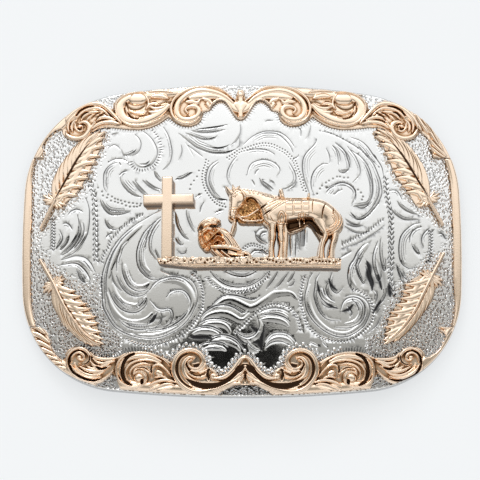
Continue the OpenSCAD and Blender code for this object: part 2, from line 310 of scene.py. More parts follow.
    def polygon(self, p):
        """Signed distance to a closed polygon over the whole field, negative inside."""
        best = np.full_like(self.X, 1e3)
        inside = np.zeros_like(self.X, bool)
        for a, b in zip(p, np.roll(p, -1, axis=0)):
            d = b - a
            l2 = max((d ** 2).sum(), 1e-12)
            x, y = self.X - a[0], self.Y - a[1]
            t = np.clip((x * d[0] + y * d[1]) / l2, 0, 1)
            best = np.minimum(best, (x - t * d[0]) ** 2 + (y - t * d[1]) ** 2)
            if abs(d[1]) > 1e-12:
                hit = (a[1] > self.Y) != (b[1] > self.Y)
                inside ^= hit & (self.X < a[0] + (self.Y - a[1]) * d[0] / d[1])
        best = np.sqrt(best)
        return np.where(inside, -best, best)


def contours(f, level=0.0):
    """Closed loops where the field's edge distance is zero, with the inside on their left."""
    D = f.D - level
    D = np.where(np.abs(D) < 1e-6, 1e-6, D)
    D = np.pad(D, 1, constant_values=1.0)
    ny, nx = D.shape
    inside = D < 0
    c = [inside[:-1, :-1], inside[:-1, 1:], inside[1:, 1:], inside[1:, :-1]]
    jj, ii = np.meshgrid(np.arange(ny - 1), np.arange(nx - 1), indexing="ij")
    n = ny * nx
    ids = [jj * nx + ii, n + jj * nx + ii + 1, (jj + 1) * nx + ii, n + jj * nx + ii]
    mixed = (c[0] | c[1] | c[2] | c[3]) & ~(c[0] & c[1] & c[2] & c[3])
    follow = {}
    for j, i in zip(*np.nonzero(mixed)):
        b = [c[k][j, i] for k in range(4)]
        outs = [k for k in range(4) if b[k] and not b[(k + 1) % 4]]
        for k in outs:
            m = k
            while True:
                m = (m + 1) % 4
                if not b[m] and b[(m + 1) % 4]:
                    break
            follow[int(ids[k][j, i])] = int(ids[m][j, i])
    flat = D.ravel()

    def place(e):
        if e < n:
            a, b = e, e + 1
        else:
            a, b = e - n, e - n + nx
        t = flat[a] / (flat[a] - flat[b])
        xa, ya = a % nx, a // nx
        xb, yb = b % nx, b // nx
        return (f.x[0] + (xa + (xb - xa) * t - 1) * f.step, f.y[0] + (ya + (yb - ya) * t - 1) * f.step)

    loops = []
    while follow:
        e, first = follow.popitem()
        loop = [e]
        nxt = first
        while nxt != e and nxt in follow:
            loop.append(nxt)
            nxt = follow.pop(nxt)
        loops.append(np.array([place(k) for k in loop]))
    return loops


def resample(loop, gap):
    closed = np.vstack([loop, loop[:1]])
    seg = np.hypot(*np.diff(closed, axis=0).T)
    s = np.r_[0, np.cumsum(seg)]
    n = max(6, int(round(s[-1] / gap)))
    at = np.linspace(0, s[-1], n, endpoint=False)
    return np.stack([np.interp(at, s, closed[:, 0]), np.interp(at, s, closed[:, 1])], -1)


def leaf_vertices(H, tol, most=16):
    """Grid vertices that carry the height field to within tol, by splitting blocks."""
    ny, nx = H.shape
    py, px = (-(ny - 1)) % most, (-(nx - 1)) % most
    A = np.pad(H, ((0, py), (0, px)), mode="edge")
    keep = np.zeros(A.shape, bool)
    active = np.ones(((A.shape[0] - 1) // most, (A.shape[1] - 1) // most), bool)
    s = most
    while True:
        if s > 1:
            by, bx = active.shape
            v = np.lib.stride_tricks.as_strided(
                A, (by, bx, s + 1, s + 1), (A.strides[0] * s, A.strides[1] * s, A.strides[0], A.strides[1]))
            t = np.linspace(0, 1, s + 1)
            jj, ii = np.nonzero(active)
            w = v[jj, ii]
            bil = ((w[:, 0, 0, None, None] * (1 - t)[None, None, :] + w[:, 0, -1, None, None] * t[None, None, :])
                   * (1 - t)[None, :, None]
                   + (w[:, -1, 0, None, None] * (1 - t)[None, None, :] + w[:, -1, -1, None, None] * t[None, None, :])
                   * t[None, :, None])
            bad = np.abs(w - bil).max((1, 2)) > tol
            split = np.zeros_like(active)
            split[jj[bad], ii[bad]] = True
            leaf = active & ~split
        else:
            leaf, split = active, None
        jj, ii = np.nonzero(leaf)
        for a in (0, s):
            for b in (0, s):
                keep[jj * s + a, ii * s + b] = True
        if split is None:
            break
        active = np.repeat(np.repeat(split, 2, 0), 2, 1)
        s //= 2
    return keep[:ny, :nx]


def thinned(pts, cell):
    """The points without those that share a small square with an earlier one."""
    for off in (0.0, 0.5):
        key = np.floor(pts / cell + off).astype(np.int64)
        _, first = np.unique(key[:, 0] * 1000003 + key[:, 1], return_index=True)
        pts = pts[np.sort(first)]
    return pts


def triangulate(loops, inner):
    """Triangles of the region inside the loops, as an index array into the stacked points."""
    pts = np.vstack(loops + [inner]) if len(inner) else np.vstack(loops)
    edges, start = [], 0
    for l in loops:
        n = len(l)
        edges += [(start + k, start + (k + 1) % n) for k in range(n)]
        start += n
    out = delaunay_2d_cdt([Vector(p) for p in pts.tolist()], edges, [], 0, 1e-7, True)
    back = np.array([o[0] if o else -1 for o in out[3]])
    tri = back[np.array([f for f in out[2]], int)]
    tri = tri[(tri >= 0).all(1)]
    a, b, c = pts[tri[:, 0]], pts[tri[:, 1]], pts[tri[:, 2]]
    area = (b[:, 0] - a[:, 0]) * (c[:, 1] - a[:, 1]) - (b[:, 1] - a[:, 1]) * (c[:, 0] - a[:, 0])
    flip = area < 0
    tri[flip] = tri[flip][:, ::-1]
    directed = {e for e in edges}
    rim = (tri < start).all(1)
    good = ~rim
    idx = np.nonzero(rim)[0]
    unsure = []
    for k in idx:
        t = tri[k]
        verdict = None
        for u, v in ((t[0], t[1]), (t[1], t[2]), (t[2], t[0])):
            if (u, v) in directed:
                verdict = True
                break
            if (v, u) in directed:
                verdict = False
                break
        if verdict is None:
            unsure.append(k)
        else:
            good[k] = verdict
    return pts, tri, good, np.array(unsure, int), start


made = {}


def build(name, f, lo, tol=0.004, gap=None, bottom=1.6, budget=None, stipple=None, hidden=None, foot_tarnish_and_shade=0.75, brow_shade=None):
    """A closed mesh: the field's heights on top, upright sides, and the layer lo below."""
    gap = gap or f.step * 1.5
    H = f.H - f.cut
    loops = [resample(l, gap) for l in contours(f) if np.hypot(*np.diff(l, axis=0).T).sum() > 1.2]
    inside = f.D < -0.55 * f.step
    cuts = np.zeros((0, 2))
    base = H
    if hidden is not None:
        # the cuts get their own mesh points, and the even ones stay clear of them
        base = f.H
        cuts = thinned(np.vstack(f.floors + f.rims), 0.06)
        cuts = cuts[(f.sample(f.D, cuts) < -0.2) & (f.sample(hidden, cuts) > -0.4)]
        taken = np.zeros(f.X.shape, bool)
        ci = np.clip(np.round((cuts - [f.x[0], f.y[0]]) / f.step).astype(int), 1, [len(f.x) - 2, len(f.y) - 2])
        for dj in (-1, 0, 1):
            for di in (-1, 0, 1):
                taken[ci[:, 1] + dj, ci[:, 0] + di] = True
        inside &= ~taken
        budget -= len(cuts)
    for _ in range(14):
        keep = leaf_vertices(np.where(f.D < f.step, base, 0.0), tol) & inside
        if budget is None or keep.sum() <= budget:
            break
        tol *= 1.12 if keep.sum() < 1.15 * budget else 1.3
    inner = np.vstack([np.stack([f.X[keep], f.Y[keep]], -1), cuts])
    pts, tri, good, unsure, n_rim = triangulate(loops, inner)
    if len(unsure):
        mid = pts[tri[unsure]].mean(1)
        good[unsure] = f.sample(f.D, mid) < 0
    tri = tri[good]
    # the height and slope of the layer at each point
    Z = surf(f.X, f.Y, H)
    gy, gx = np.gradient(Z, f.step)
    hz = f.sample(H, pts)
    top = np.stack([pts[:, 0], pts[:, 1], surf(pts[:, 0], pts[:, 1], hz)], -1)
    # each corner's normal; at a cut it is read a little way into the triangle, so the cut stays crisp
    at = pts[tri]
    if len(cuts):
        toward = at.mean(1, keepdims=True) - at
        far = np.maximum(np.linalg.norm(toward, axis=2, keepdims=True), 1e-9)
        step = toward / far * np.minimum(0.35 * far, 1.1 * f.step)
        at = at + step * (tri >= len(pts) - len(cuts))[:, :, None]
    at = at.reshape(-1, 2)
    nrm = np.stack([-f.sample(gx, at), -f.sample(gy, at), np.ones(len(at))], -1)
    nrm = (nrm / np.linalg.norm(nrm, axis=1)[:, None]).reshape(-1, 3, 3)
    tone = f.sample(f.dark, pts)
    pecked = np.zeros(len(pts)) if stipple is None else f.sample(stipple, pts)
    # the underside
    gx_ = np.arange(f.x[0], f.x[-1], bottom)
    gy_ = np.arange(f.y[0], f.y[-1], bottom)
    gp = np.stack([a.ravel() for a in np.meshgrid(gx_, gy_)], -1)
    gp = gp[f.sample(f.D, gp) < -0.5]
    bpts, btri, bgood, bunsure, _ = triangulate(loops, gp)
    if len(bunsure):
        bgood[bunsure] = f.sample(f.D, bpts[btri[bunsure]].mean(1)) < 0
    btri = btri[bgood][:, ::-1]
    low = np.stack([bpts[:, 0], bpts[:, 1], surf(bpts[:, 0], bpts[:, 1], lo)], -1)
    bn = np.stack([bpts[:, 0] / BEND_W, bpts[:, 1] / BEND_H, np.ones(len(bpts))], -1)
    bn = -bn / np.linalg.norm(bn, axis=1)[:, None]
    n_top = len(top)
    co = np.vstack([top, low])
    # the underside and the foot of the sides take the foot value: tarnish and painted shade
    tones = np.r_[tone, np.full(len(low), foot_tarnish_and_shade)]
    pecked = np.r_[pecked, np.zeros(len(low))]
    faces = [tri, btri + n_top]
    fn = [nrm, bn[btri]]
    # sides, with a row of their own just below the edge where the brow value sets their darkening: tarnish and painted
    # shade under the piece's edge
    n_all = len(co)
    if brow_shade is not None:
        rim_n = sum(len(l) for l in loops)
        t_, b_ = top[:rim_n], low[:rim_n]
        co = np.vstack([co, t_ + (b_ - t_) * 0.10])
        tones = np.r_[tones, np.full(rim_n, brow_shade)]
        pecked = np.r_[pecked, np.zeros(rim_n)]
    start = 0
    for l in loops:
        n = len(l)
        k = np.arange(n)
        k2 = (k + 1) % n
        tang = np.roll(l, -1, 0) - np.roll(l, 1, 0)
        tang /= np.maximum(np.hypot(tang[:, 0], tang[:, 1]), 1e-9)[:, None]
        out = np.stack([tang[:, 1], -tang[:, 0], np.zeros(n)], -1)
        a, b = start + k, start + k2
        levels = [0, n_top] if brow_shade is None else [0, n_all, n_top]
        for up, down in zip(levels, levels[1:]):
            faces.append(np.stack([a + up, a + down, b + down], -1))
            fn.append(np.stack([out[k], out[k], out[k2]], 1))
            faces.append(np.stack([a + up, b + down, b + up], -1))
            fn.append(np.stack([out[k], out[k2], out[k2]], 1))
        start += n
    faces, fn = np.vstack(faces), np.vstack(fn)
    used = np.zeros(len(co), bool)
    used[faces.ravel()] = True
    renum = np.cumsum(used) - 1
    co, faces = co[used] / 1000.0, renum[faces]
    ob = mesh_object(name, co, faces, fn, {"tarnish_and_painted_shade": tones[used], "stipple": pecked[used]})
    made[name] = (len(faces), round(tol, 4), int(keep.sum()), len(cuts))
    return ob


def mesh_object(name, co, faces, fn=None, tones=None):
    me = bpy.data.meshes.new(name)
    me.vertices.add(len(co))
    me.vertices.foreach_set("co", np.ascontiguousarray(co, np.float32).ravel())
    n = faces.shape[1]
    me.loops.add(faces.size)
    me.loops.foreach_set("vertex_index", np.ascontiguousarray(faces, np.int32).ravel())
    me.polygons.add(len(faces))
    me.polygons.foreach_set("loop_start", np.arange(0, faces.size, n, dtype=np.int32))
    me.update(calc_edges=True)
    me.polygons.foreach_set("use_smooth", np.ones(len(faces), bool))
    for key, values in (tones or {}).items():
        me.attributes.new(key, "FLOAT", "POINT").data.foreach_set("value", values.astype(np.float32))
    if fn is not None:
        me.normals_split_custom_set(fn.reshape(-1, 3).tolist())
    ob = bpy.data.objects.new(name, me)
    scene.collection.objects.link(ob)
    return ob


def rows(text):
    """Rows of a stroke table: kind, number, points in picture pixels."""
    out = []
    for line in text.strip().splitlines():
        line = line.split("#")[0].strip()
        if not line:
            continue
        kind, num, *pts = line.split()
        out.append((kind, float(num), np.array([[float(v) for v in p.split(",")] for p in pts])))
    return out


# ---------------------------------------------------------------- engraving of the face
# kinds: c cut, d cut with one hatch line beside it, m cut with three, k deep dark cut, f faint line, n narrow dark cut,
# r raised leaf, o dots, j dashes across, q two rows of dots, w row of short curls across the path, wider apart from
# size 4.4, s painted shade between the raised leaves, z fainter painted shade
ENGRAVING = """
s 5.0 189,337 198,337.5 206,337 213,339.5
s 5.0 225,341 232,343 239,347
s 5.0 235,334 241,338 246,344
s 3.4 209,340.5 215,341.5 221,343
s 4.0 250,326 256,330 262,331
z 6.0 372,240 366,247 360,252 354,257
z 6.0 375,258 380,268 384,280 385,290
z 5.0 150,318 159,319 167,316
s 6.0 245,337 253,340 259,343 262,351
s 4.6 264,325 262.5,333 261.5,341 262,350
s 6.0 366,260 369.5,267 368.5,275 371.5,282 372.5,291
s 5.0 389,283 389.5,291 390.5,298
s 3.0 381,300 377,307 373,313
s 3.2 317,281 319,290 324,299 331,306 339,309
s 2.6 328,278 332,286 338,291
s 3.0 341,312 349,309 354,303
s 3.2 139,306 143,301 146,298
s 3.2 149,323 153,319 156,314
s 4.5 172,325 180,322 186,316 189,310
s 3.0 377.5,272 379.5,281 382,291
d 2.6 350.6,149.8 361,157 368.3,166.7 372.3,179.5 373,192.3 370.7,200.3 366.7,206 361.9,208.3 355.4,206
d 2.6 357,144.2 365,153.8 373,163.5 378.7,176.3 381,184.3 381.9,193.9 377.9,203.5 371.5,212.3 363.5,218 355.4,218.7 349,214.7
k 2.4 326,189 333,185 342.6,182.7 350.6,185 355.4,190.7 354.6,198.7 351.4,205
d 2.2 345.8,224.3 355.4,226.7 363.5,225.6
k 2.2 334.6,142.6 344.2,150.6 348.2,160.3 349,168.3 344.2,173 338.6,171.5
c 2.0 332.2,145 337.8,150.6 340.2,159.5 337.8,165
k 2.2 290.2,232 289.6,241 290.2,250 291,257
k 2.0 296,231 296,240 295.6,250 296,258
d 1.8 300.2,230 300,240 299.2,250
k 1.5 304.8,228 304.6,236 304.4,247
c 2.4 267,227.4 260.4,228.6 256,233 256.4,238.5 260,243 266,244.8
d 1.8 267,232.2 262,233 260,236 261,239.5 266,240.8
q 2.0 241,250.5 246,246 251,244 257,244.8 263,247.6 267.4,251.5
k 2.4 249.5,255.4 253,251.4 258,250 263,252 267.5,256
k 2.2 333,185 337.6,183 342.6,182.4 347.4,183.2 351,185.4
# upper left
c 2.2 134.5,134.5 138,137 140.5,141 141,145 139.5,150 136,154 131,156 126,157
d 1.8 137,149 134,152.5 129,155 124,155.5 122,152 121.5,149
c 2.2 141,130 147,134 152,139 156,146 157.5,152 156,158 152,164 147,167 142,168 137,166 134,162 134,158.5
c 1.5 139,164.5 146,164.5 150,161
j 2.6 153,130 156,133 158,136 160,139 161,142 162,145 163,149 162,153 161,157 160,159.5 159,162 156,166 153,168 149,170 146,171 142,172 138,171.5 135,170 132,168 129.5,164.5 129,161
d 2.0 163,127 166,131 169,137 171,145 172,152 171,159 169,164 165,168.5 162,170.5
c 1.8 181,144 182,150 181,155 178,161
c 1.6 109,147.5 112,145.5 115,145 118,146.5 120,149
c 1.2 111,135 115,134 119,133
m 3.2 118,162 112,164 107,168 104,174 103.5,181 104,188 107,193
c 1.4 119,162 121,166
c 1.6 113,165 108,169 105,175
c 1.8 107,177 106,183 108,190
k 2.6 119.5,176 121,173 124,171 127,170.5
m 2.6 120,176 121,182 124,187 130,193 137,196.5 142,197.5
d 2.2 132,181 137,188 142,193 147,196
c 1.5 135,181 139,187 144,192 148,195
d 2.2 142,180 147,185 153,189 160,192
c 1.5 145,180 149,184 155,188 162,190
k 3.0 154,171 155,175 158,179 162,182
d 2.6 175,180 181,179 187,176 193,172.5
o 1 95,181 98,188 102,192 108,195 112,197 115,199 118,200 121,201 125,202 129,203 133,203.5 137,204 141,204
o 1 103,196 107,198 111,201 115,202 118,203 122,204 126,206 130,207 134,207 137,207 140,206
k 2.6 100,199.5 101,204 104,209 108,213 113,215 120,214.5 126,213 131,211.5
d 1.6 102,200 105,206 110,210 116,211 124,211.5 131,211
# upper centre
k 2.4 108,163 112,160 118,158.6 124,159.6 128,162
k 2.0 119,175.4 122,172.4 127,171
d 2.8 190,130.4 196,132 203,132.8 211,132.6 219,131.4 226,130
c 1.8 196,129.4 206,129 217,127.6 229,124.6
f 1.8 198,131 210,130.8 222,128.6
d 2.2 185,133 190,135 197,137.5 203,139.5 210,139.5 215,138 218,135
m 2.8 178,133 185,138.5 190,142.5 196,147 202,149.5 207,151.5 213,153 220,153.5 227,153 233,151 237,148.5
c 1.8 206,145 211,147.5 218,149 225,147.5 230,144.5
c 1.6 187,145 193,149 198,153 203,157
f 1.4 185,142 190,149 194,157
c 1.4 240,124 240.5,130 239,136 235,142 230,146
c 1.3 240,139 239,146 236,149
q 2.8 206,160 205,165 204,168 203,171 202,178 203,184 205,190 207,193 209,196 212,200 216,204 220,206 224,207 228,208
o 0.8 199,171 197,177 194,181 191,185 190,189.5
m 3.4 218,160 213,163 209,167 207,172 206,178 206.5,184 209,190 213,196 219,200 228,200.5
c 1.6 219,162 213,167 210,173 209,180 211,187 215,193 221,198
d 2.2 237,156 232,162 228,170 227,177 229,183 232,187
c 1.4 224,186 226,190
k 2.2 196,197 199,195 202,193.5
c 1.8 204,202 201,207 200,213
k 2.0 215,213 219,211 223,210
# upper right of centre
m 2.4 243,145 248,140 253,136 259,133 266,131 277,131.5 284,134.5 289,139 292,143 294.5,147
c 1.5 254,137 262,133.5 272,133 279,135 285,140 290,146 293,153
q 2.6 227,158 231,155.6 235,153 239,150 243,149 249,147 255,145 262,143.5 266,143.5 270,144 274,145 278,147 281,148.5 285,150.5 288,153 291,156 294,159 296,162 297,165 298,168 299,171 300.5,174.5 302,178 303,181 304,186 306,190 306,193
d 1.8 246,151 252,149.5 259,149 268,150.5 274,154
c 1.4 265,122 268,120.5 273,121
k 1.6 293,159.5 299,155.5
m 2.6 247,176 248,170 251,164 256,161 263,159.5 270,160.5 275,163 279,167 280,171 278,175 276,178
c 1.4 255,175 256,171.5 259,169
c 1.8 252,180 255,186
d 2.0 259,178 262,184 268,189 272,192
c 1.5 262,181 268,186 274,190
c 1.3 269,180 272,182 275,184
d 2.2 289,162 292,167 295,173 296,179 294,184 290,187 286,189 282,188.5
c 1.4 289,190 294,187 297,181
c 1.6 299,128 301,131 300.5,137
c 1.6 311,125 310,130 308,136 305,140
m 1.9 317,138 316,142 313,146 308,151 305,155 303,160 302.5,168 304,178 307,187 310,195
o 0.9 320,131 325,131 331,133.5 337,136 343,139 350,142.5 358,148 363,152 368,156 374,162 379,167
c 1.2 320,131 331,133.5 343,139 358,148 368,156 379,167
# right
c 1.8 326,148 329,154 330,160 329,164
m 2.8 328,164 324,163.5 319,166 315,170 312,176 311,183 312,190 314,194
d 1.9 332,145 336,150 338,157 338,165
d 1.9 335,142 340,145.5 345,151 348.5,156 350,162 350,168
d 1.9 347,146 351,151 355,156 358,162 360,168 360,174 357,179 352,183
k 2.2 338,170 341,172.5 345,172 348,169
c 1.6 357,153 360,156 364,160 368,165
m 3.0 350,137 356,139 361,141 366,145 370,150 374,156 378,161 382,168 384,179
c 1.4 372,153 377,159
d 2.2 363,160 367,168 370,176 372,184 372,192 370,199 366,203
d 2.0 375,174 378,181 379,190 377,199 372,207
o 1.2 317,194 320,189 322,186 326,183 329,181 333,179 337,177 340,177 344,178 348,178
o 1.2 358,190 361,193 363,197 362,200
k 3.2 335,185 340,183 345,183 350,185 354,189 356,195 355.5,201
m 2.4 326,193 330,188 336,185
c 1.5 334,195 338,191 343,189.5
d 2.4 353,207 360,206 367,204.5 371,200
c 1.8 356,207 362,208.5 368,206 372,202
d 2.4 350,212 353,216 357,219.5 363,219 369,215 374,209 379,203 381,197
c 1.8 345,219 350,223 355,225 360,225
c 1.8 344,226 350,230 357,233 365,233 370,231
w 3.4 341,245 345,243 350,241 355,238 360,235.5 368,231 372,228 376,225 380,221.5 384,219
c 1.3 341,249 350,246 358,243 365,239.5 372,235 378,231 383,226
c 1.8 340,258 346,254 352,251
m 2.6 365,243 358,251 354,259 350,265 348,272 348,280 350,287 354,292
d 2.4 364,250 359,257 356,265 357,272 360,279 364,284 366,279
d 2.4 378,241 375,248 373,256 373,265 375,273 378,281 381,278 381,270
d 2.4 381,237 380,245 380,254 381,262 383,269 385,271 386,266 385,258
k 4.6 366,263 369,270 371,277 373,285 371,292
# left panel and divider
w 5.2 86,175 89,182 92,190 94.5,200 95,210 95.5,220 95.5,232 95.5,244 95.5,255 97,262
k 3.0 68,215 70,212 73,210 76,209 80,210 83,212
c 2.4 84,196 87,201 89,208 89.5,216 89,225 87,235 83,243 78,249 72,254 62,259
c 1.8 77,214 78.5,220 79,226 78,233 76,238 72,244 67,249 60,255
k 2.8 80,222 81,230 79.5,237 76,243 72,248 66,253 61,255.5
c 1.8 83,222 84,230 82,238 78,244 74,249
d 1.8 63,224 66,223 69,224.5 71,227 72.5,230
k 3.0 69,235 69,238 67,243 63,248 60,250.5
d 2.2 60,231 62,235 62.5,239 61,243 58,247 55.5,250
w 4.0 52,218 53,225 53,232 53,240 52.5,246 52,252
c 2.6 61,260 68,258 74,256 80,256 86,258 90,262 93,267 95,272
k 3.0 61,265 66,264 72,263 78,264 83,268 87,273 90,279 89,283
c 2.0 80,260 85,262 89,267 92,272
d 2.2 76,270 78,273 79,277 82,281 86,283.5
k 2.2 81,275 82.5,279 85,283
k 2.4 104.5,219 106,224 109,228 113,229.5 118,229
k 2.4 106,238 107,235.5 109,234 112,233.5
# right panel and divider
w 4.6 385.5,176 386,188 387,197 388.5,205 390,213 391,222 390.5,237 391,247 390.5,262 390.5,277 391.5,283 393,295
d 2.0 389,191 393,190 397,191 400,195 402,200
d 2.6 397,201 400,206 405,210 411,213 418,215
d 2.2 390,208 394,213 399,217 404,219.5 410,220 419,219.5
m 2.6 421,223 414,224 408,228 403,233 400,239 399,246 399,253 400,260 403,265 408,268 413,268 416,266
d 2.0 422,227 417,228 412,232 410,237 410,243
k 3.8 412,245 414,249 417,253 420,254.5
d 1.8 430,228 425,232 422,237 422,243 424,248
k 1.8 439,234 442,233.5 444,236 446,240
d 2.2 400,270 403,276 407,280
d 2.2 396,264 398,272 401,279 405,285
w 4.0 430,230 431,238 431,246 430,254 429,262
# big scroll, lower left
d 2.6 161,210 155,213 149,216.5 143,220 137,223.5 131,228 125,233 120,238 116,243 112,249 108.5,256 106,262 104,268 102,276 101.5,284 102,293 103,307 106,314 110,321 115,327 121,331 128,334.5 136,337 145,338.5 154,338.5 163,336.5 171,333 178,329 184,324 190,317 194,310 197,303 198,296 197,290 195,285 192,281 188,278
c 1.8 133,229 127,234 122,239 117,246 113,253 110,261 108,268 106.5,276 106,285 106.5,295 108,301 110,309 113,316 117,322
w 3.4 144,214 138,217 132,221 127,224 121,229 116,235 111,240 108,248 104,254 102,260 101,264
w 3.4 125,338 135,343 150,345 165,342 180,336 190,328 197,318 202,308 203,298 202,288 198,279 192,273
m 2.8 161,217 156,220.5 151,225 146,230 142,236 139,243 137,250 136.5,257 137,263 139,269 143,274 148,278 154,280 160,278.5 164,276
c 1.6 140,260 141,266 145,272 150,276 156,278
d 2.2 161,219.5 157,224 153,230 150,237 149,244 150,251 153,256 157,261
c 1.5 157,220 152,226 148,234 146,242 146,250
c 1.8 155,249 157,255 160,260
d 2.4 127.5,241 124,243 121,247 119,253 117,259 116.5,266 117,272
m 2.8 122,262 122,270 124,278 127,284 131,288 137,291 143,291 148.5,289
d 2.2 116,275 119,283 123,289 128,293.5 134,296 140,296 145,294 149,290
c 1.6 111,270 112,277 114,283 118,288 122,291.5
m 2.8 108,288 111,296 115,303 121,309 128,312 135,312.5 141,310 146,305 148,300
c 1.6 113,292 117,298 123,303 131,305
k 4.0 138,307 142,303 145,299
m 2.4 119,319 123,324 130,328 138,329.5 147,329 154,328 158,325
c 1.6 122,321 130,324 140,325 148,324
k 3.6 148,324 153,321 156,316 157,312
d 2.2 150,300 154,304 158,308 163,309 167,308 171,309 173,313 173,318 171,322 167,326 161,329
c 1.8 161,312 162,317 161,322 158,326
k 3.0 147,331 155,330 163,329 171,326 178,322 184,317 188,311
d 2.6 150,290 153,285 158,280.5 164,278 171,276.5 178,277 184,279 189,283 193,288 195,293
c 1.8 160,270 165,272 171,274.5 178,275.5 184,277 190,281
d 2.4 167,297 169,293 173,290.5 178,289.5 183,290 187,293 190,298 191,303 189,311
k 3.0 175,212 175.5,220 177,226 180,232 184,237 189,240
d 2.2 175,238 177,242 181,245 184,244
c 1.8 177,250 181,253.5 185,253 187,249
d 2.2 186,210 187,217 189,223 192,229 195,233
k 2.6 255,251 262,250 266,253 269,255
c 2.0 254,231 257,236 262,241 268,244
# bottom centre
d 2.4 210,271 214,276 219,281 225,284.5 232,286.5 240,287 248,286 255,283 261,279 266,274
k 4.2 226,272 232,274.5 239,276 245,276 251,274 255,272
c 2.0 212,275 217,279 223,283 229,285.5 234,286
w 3.2 207,277 213,284 220,288 228,290.5 237,291.5 246,290 254,287.5 261,283 267,277 270,272
c 2.0 278,271 275,277 270,284 266,290
c 2.0 288,273 283,280 279,285 274,289
c 2.0 295,272 291,279 287,283
c 2.0 295,280 293,284 288,287
n 1.9 212,306 216,301 221,297 227,295 233,295 239,296 244,297.5 249,299 254,299.5 260,296.5
n 1.9 201,318 204,313 209,309 215,306 221,305 227,305 233,307 238,310 243,313 248.5,310
n 1.9 199,324 203,321 209,319 216,318.5 222,319 227,321 231,324
n 1.9 191,330 197,327.5 203,326 210,326 216,328 221,331 223,334
n 1.9 208,340 213,336.5 219,335 226,335 232,337 237,340 241,345 244,350
n 1.9 199,346 205,343 212,342 219,342 225,344 228,347
n 1.9 205,349 213,348 221,349
w 3.4 234,333 237,330 242,326 247,321 252,316 257,312 261,308 266,305.5 272,304 278,304 284,305.5 289,308 294,312 297,317 299,323 300,330
d 2.4 236,331 240,335 246,337 252,336 256,333 259,328 259,322 257,317
n 1.9 260,316 266,314.5 273,314 280,315.5 286,318 290,322
d 2.2 259,313 264,310 271,308 278,308 285,310 289,313
d 2.4 265,342 268,337 273,333 280,332 286,333 291,336 295,341
c 2.0 265,348 270,343 277,341 284,342 288,345
c 2.2 247,340 250,345 255,349 260,350
# lower right scroll
w 3.4 305,275 303,280 301,290 300,300 302,310 305,320 307,325 312,331 317,335 323,338 330,340 337,341 344,341 351,339 357,336 363,331 367,327 371,322 373,316 373,310 372,304 369,299 366,295 357,290 352,289
d 2.6 313,273 309,279 307,287 305,295 305,303 307,311 311,318 316,324 323,330 331,334.5 340,337 349,336 357,332 364,326 368,319 370,312 369,305 366,300 362,297 356,295 350,295 345,297
d 2.2 320,273 316,279 315,287 314,296 316,304 319,311 324,317 330,320 341,320
m 2.4 318,284 319,292 322,299 327,303 331,305
c 1.8 320,300 324,305 330,307.5 337,307
d 2.4 327,283 326,290 328,296 332,300 335,302
d 2.4 332,272 330,279 330,285 332,290 336,293 339,292 343,288
m 2.6 341,310 342,305 344,301 348,298 354,297 360,299 364,304 365,310 364,317 360,323 355,326 348,328 334,327.5
c 2.0 352,300 356,303 358,307 359,311
k 2.6 347,305 350,309 352,313 350,317
d 2.2 374,290 377,293 377,299 375,305
d 2.2 386,288 386,294 384,299 380,304 376,309
c 2.0 381,307 378,312 376,315
c 2.0 381,316 379,321 377,325 373,329 367,334
c 2.0 310,342 318,346
c 2.0 322,341 327,347
"""

# leaves and bands that stand up a little, mostly in the lower half
RAISED = """
r 3.2 213,307 219,302 225,298.5 232,298 238,300 244,303 250,305.5 256,304 262,300 268,296 274,292 281,291 288,291 293,293 297,298
r 3.0 202,320 207,315 214,312 221,311 228,312 234,315 239,318 244,318 249,313
r 2.6 201,326 207,323 214,322 221,322.5 226,325 229,329 230,333
r 2.4 193,333 199,330 205,329.5 211,330 216,332 220,335
r 2.6 209,343 214,340 220,339 227,339.5 232,341.5 237,345 240,350
r 2.2 203,349 209,346.5 216,346 222,347 226,350
r 2.4 238,334 243,337.5 249,338.5 255,336 259,331 261,325 260,319
r 2.6 261,319 267,317.5 274,317.5 281,319 286,322 289,326
r 2.2 262,312.5 268,311 275,311 282,312.5 288,316
r 2.6 266,345 270,340 276,337 283,337 289,339.5 293,344
r 2.6 249,343 253,348 258,351
r 3.0 212,278 218,283.5 225,288 232,289.5 240,290 248,289 256,286 262,282
r 2.6 163,281 170,279.5 177,280 184,283 189,288 192,294 193,301 191,308 186,316 179,322 170,326
r 2.8 113,283 116,292 121,299 128,303 136,304 142,301 146,296
r 2.8 125,264 126,273 130,281 136,285 143,285 149,282
r 2.6 107,292 110,301 115,310 122,317 130,320 139,320 147,317 152,312
r 2.4 127,333 137,334.5 148,334.5 160,333 171,329 180,324 187,317
r 2.4 103,299 105,309 109,317 115,324 122,329
r 2.6 310,284 309,292 309,300 311,308 315,316 321,323 329,329 338,332 347,332 355,328 361,322 365,315
r 2.4 321,288 323,294 328,299 334,302
r 2.4 347,302 353,301 358,304 360,310 358,317 353,321 345,323
r 2.4 352,262 351,270 352,279 356,286
r 2.4 377,246 376,256 376,265 378,274
r 2.2 368,243 362,250 359,258
r 3.0 142,224 135,229 128,235 122,242 117,250 113,259 110,268 109,277
r 2.6 145,239 142,247 142,256 145,265 150,271
r 2.2 86,232 82,240 77,247 70,252
r 2.2 66,261 74,259.5 81,260 87,264 91,270
"""


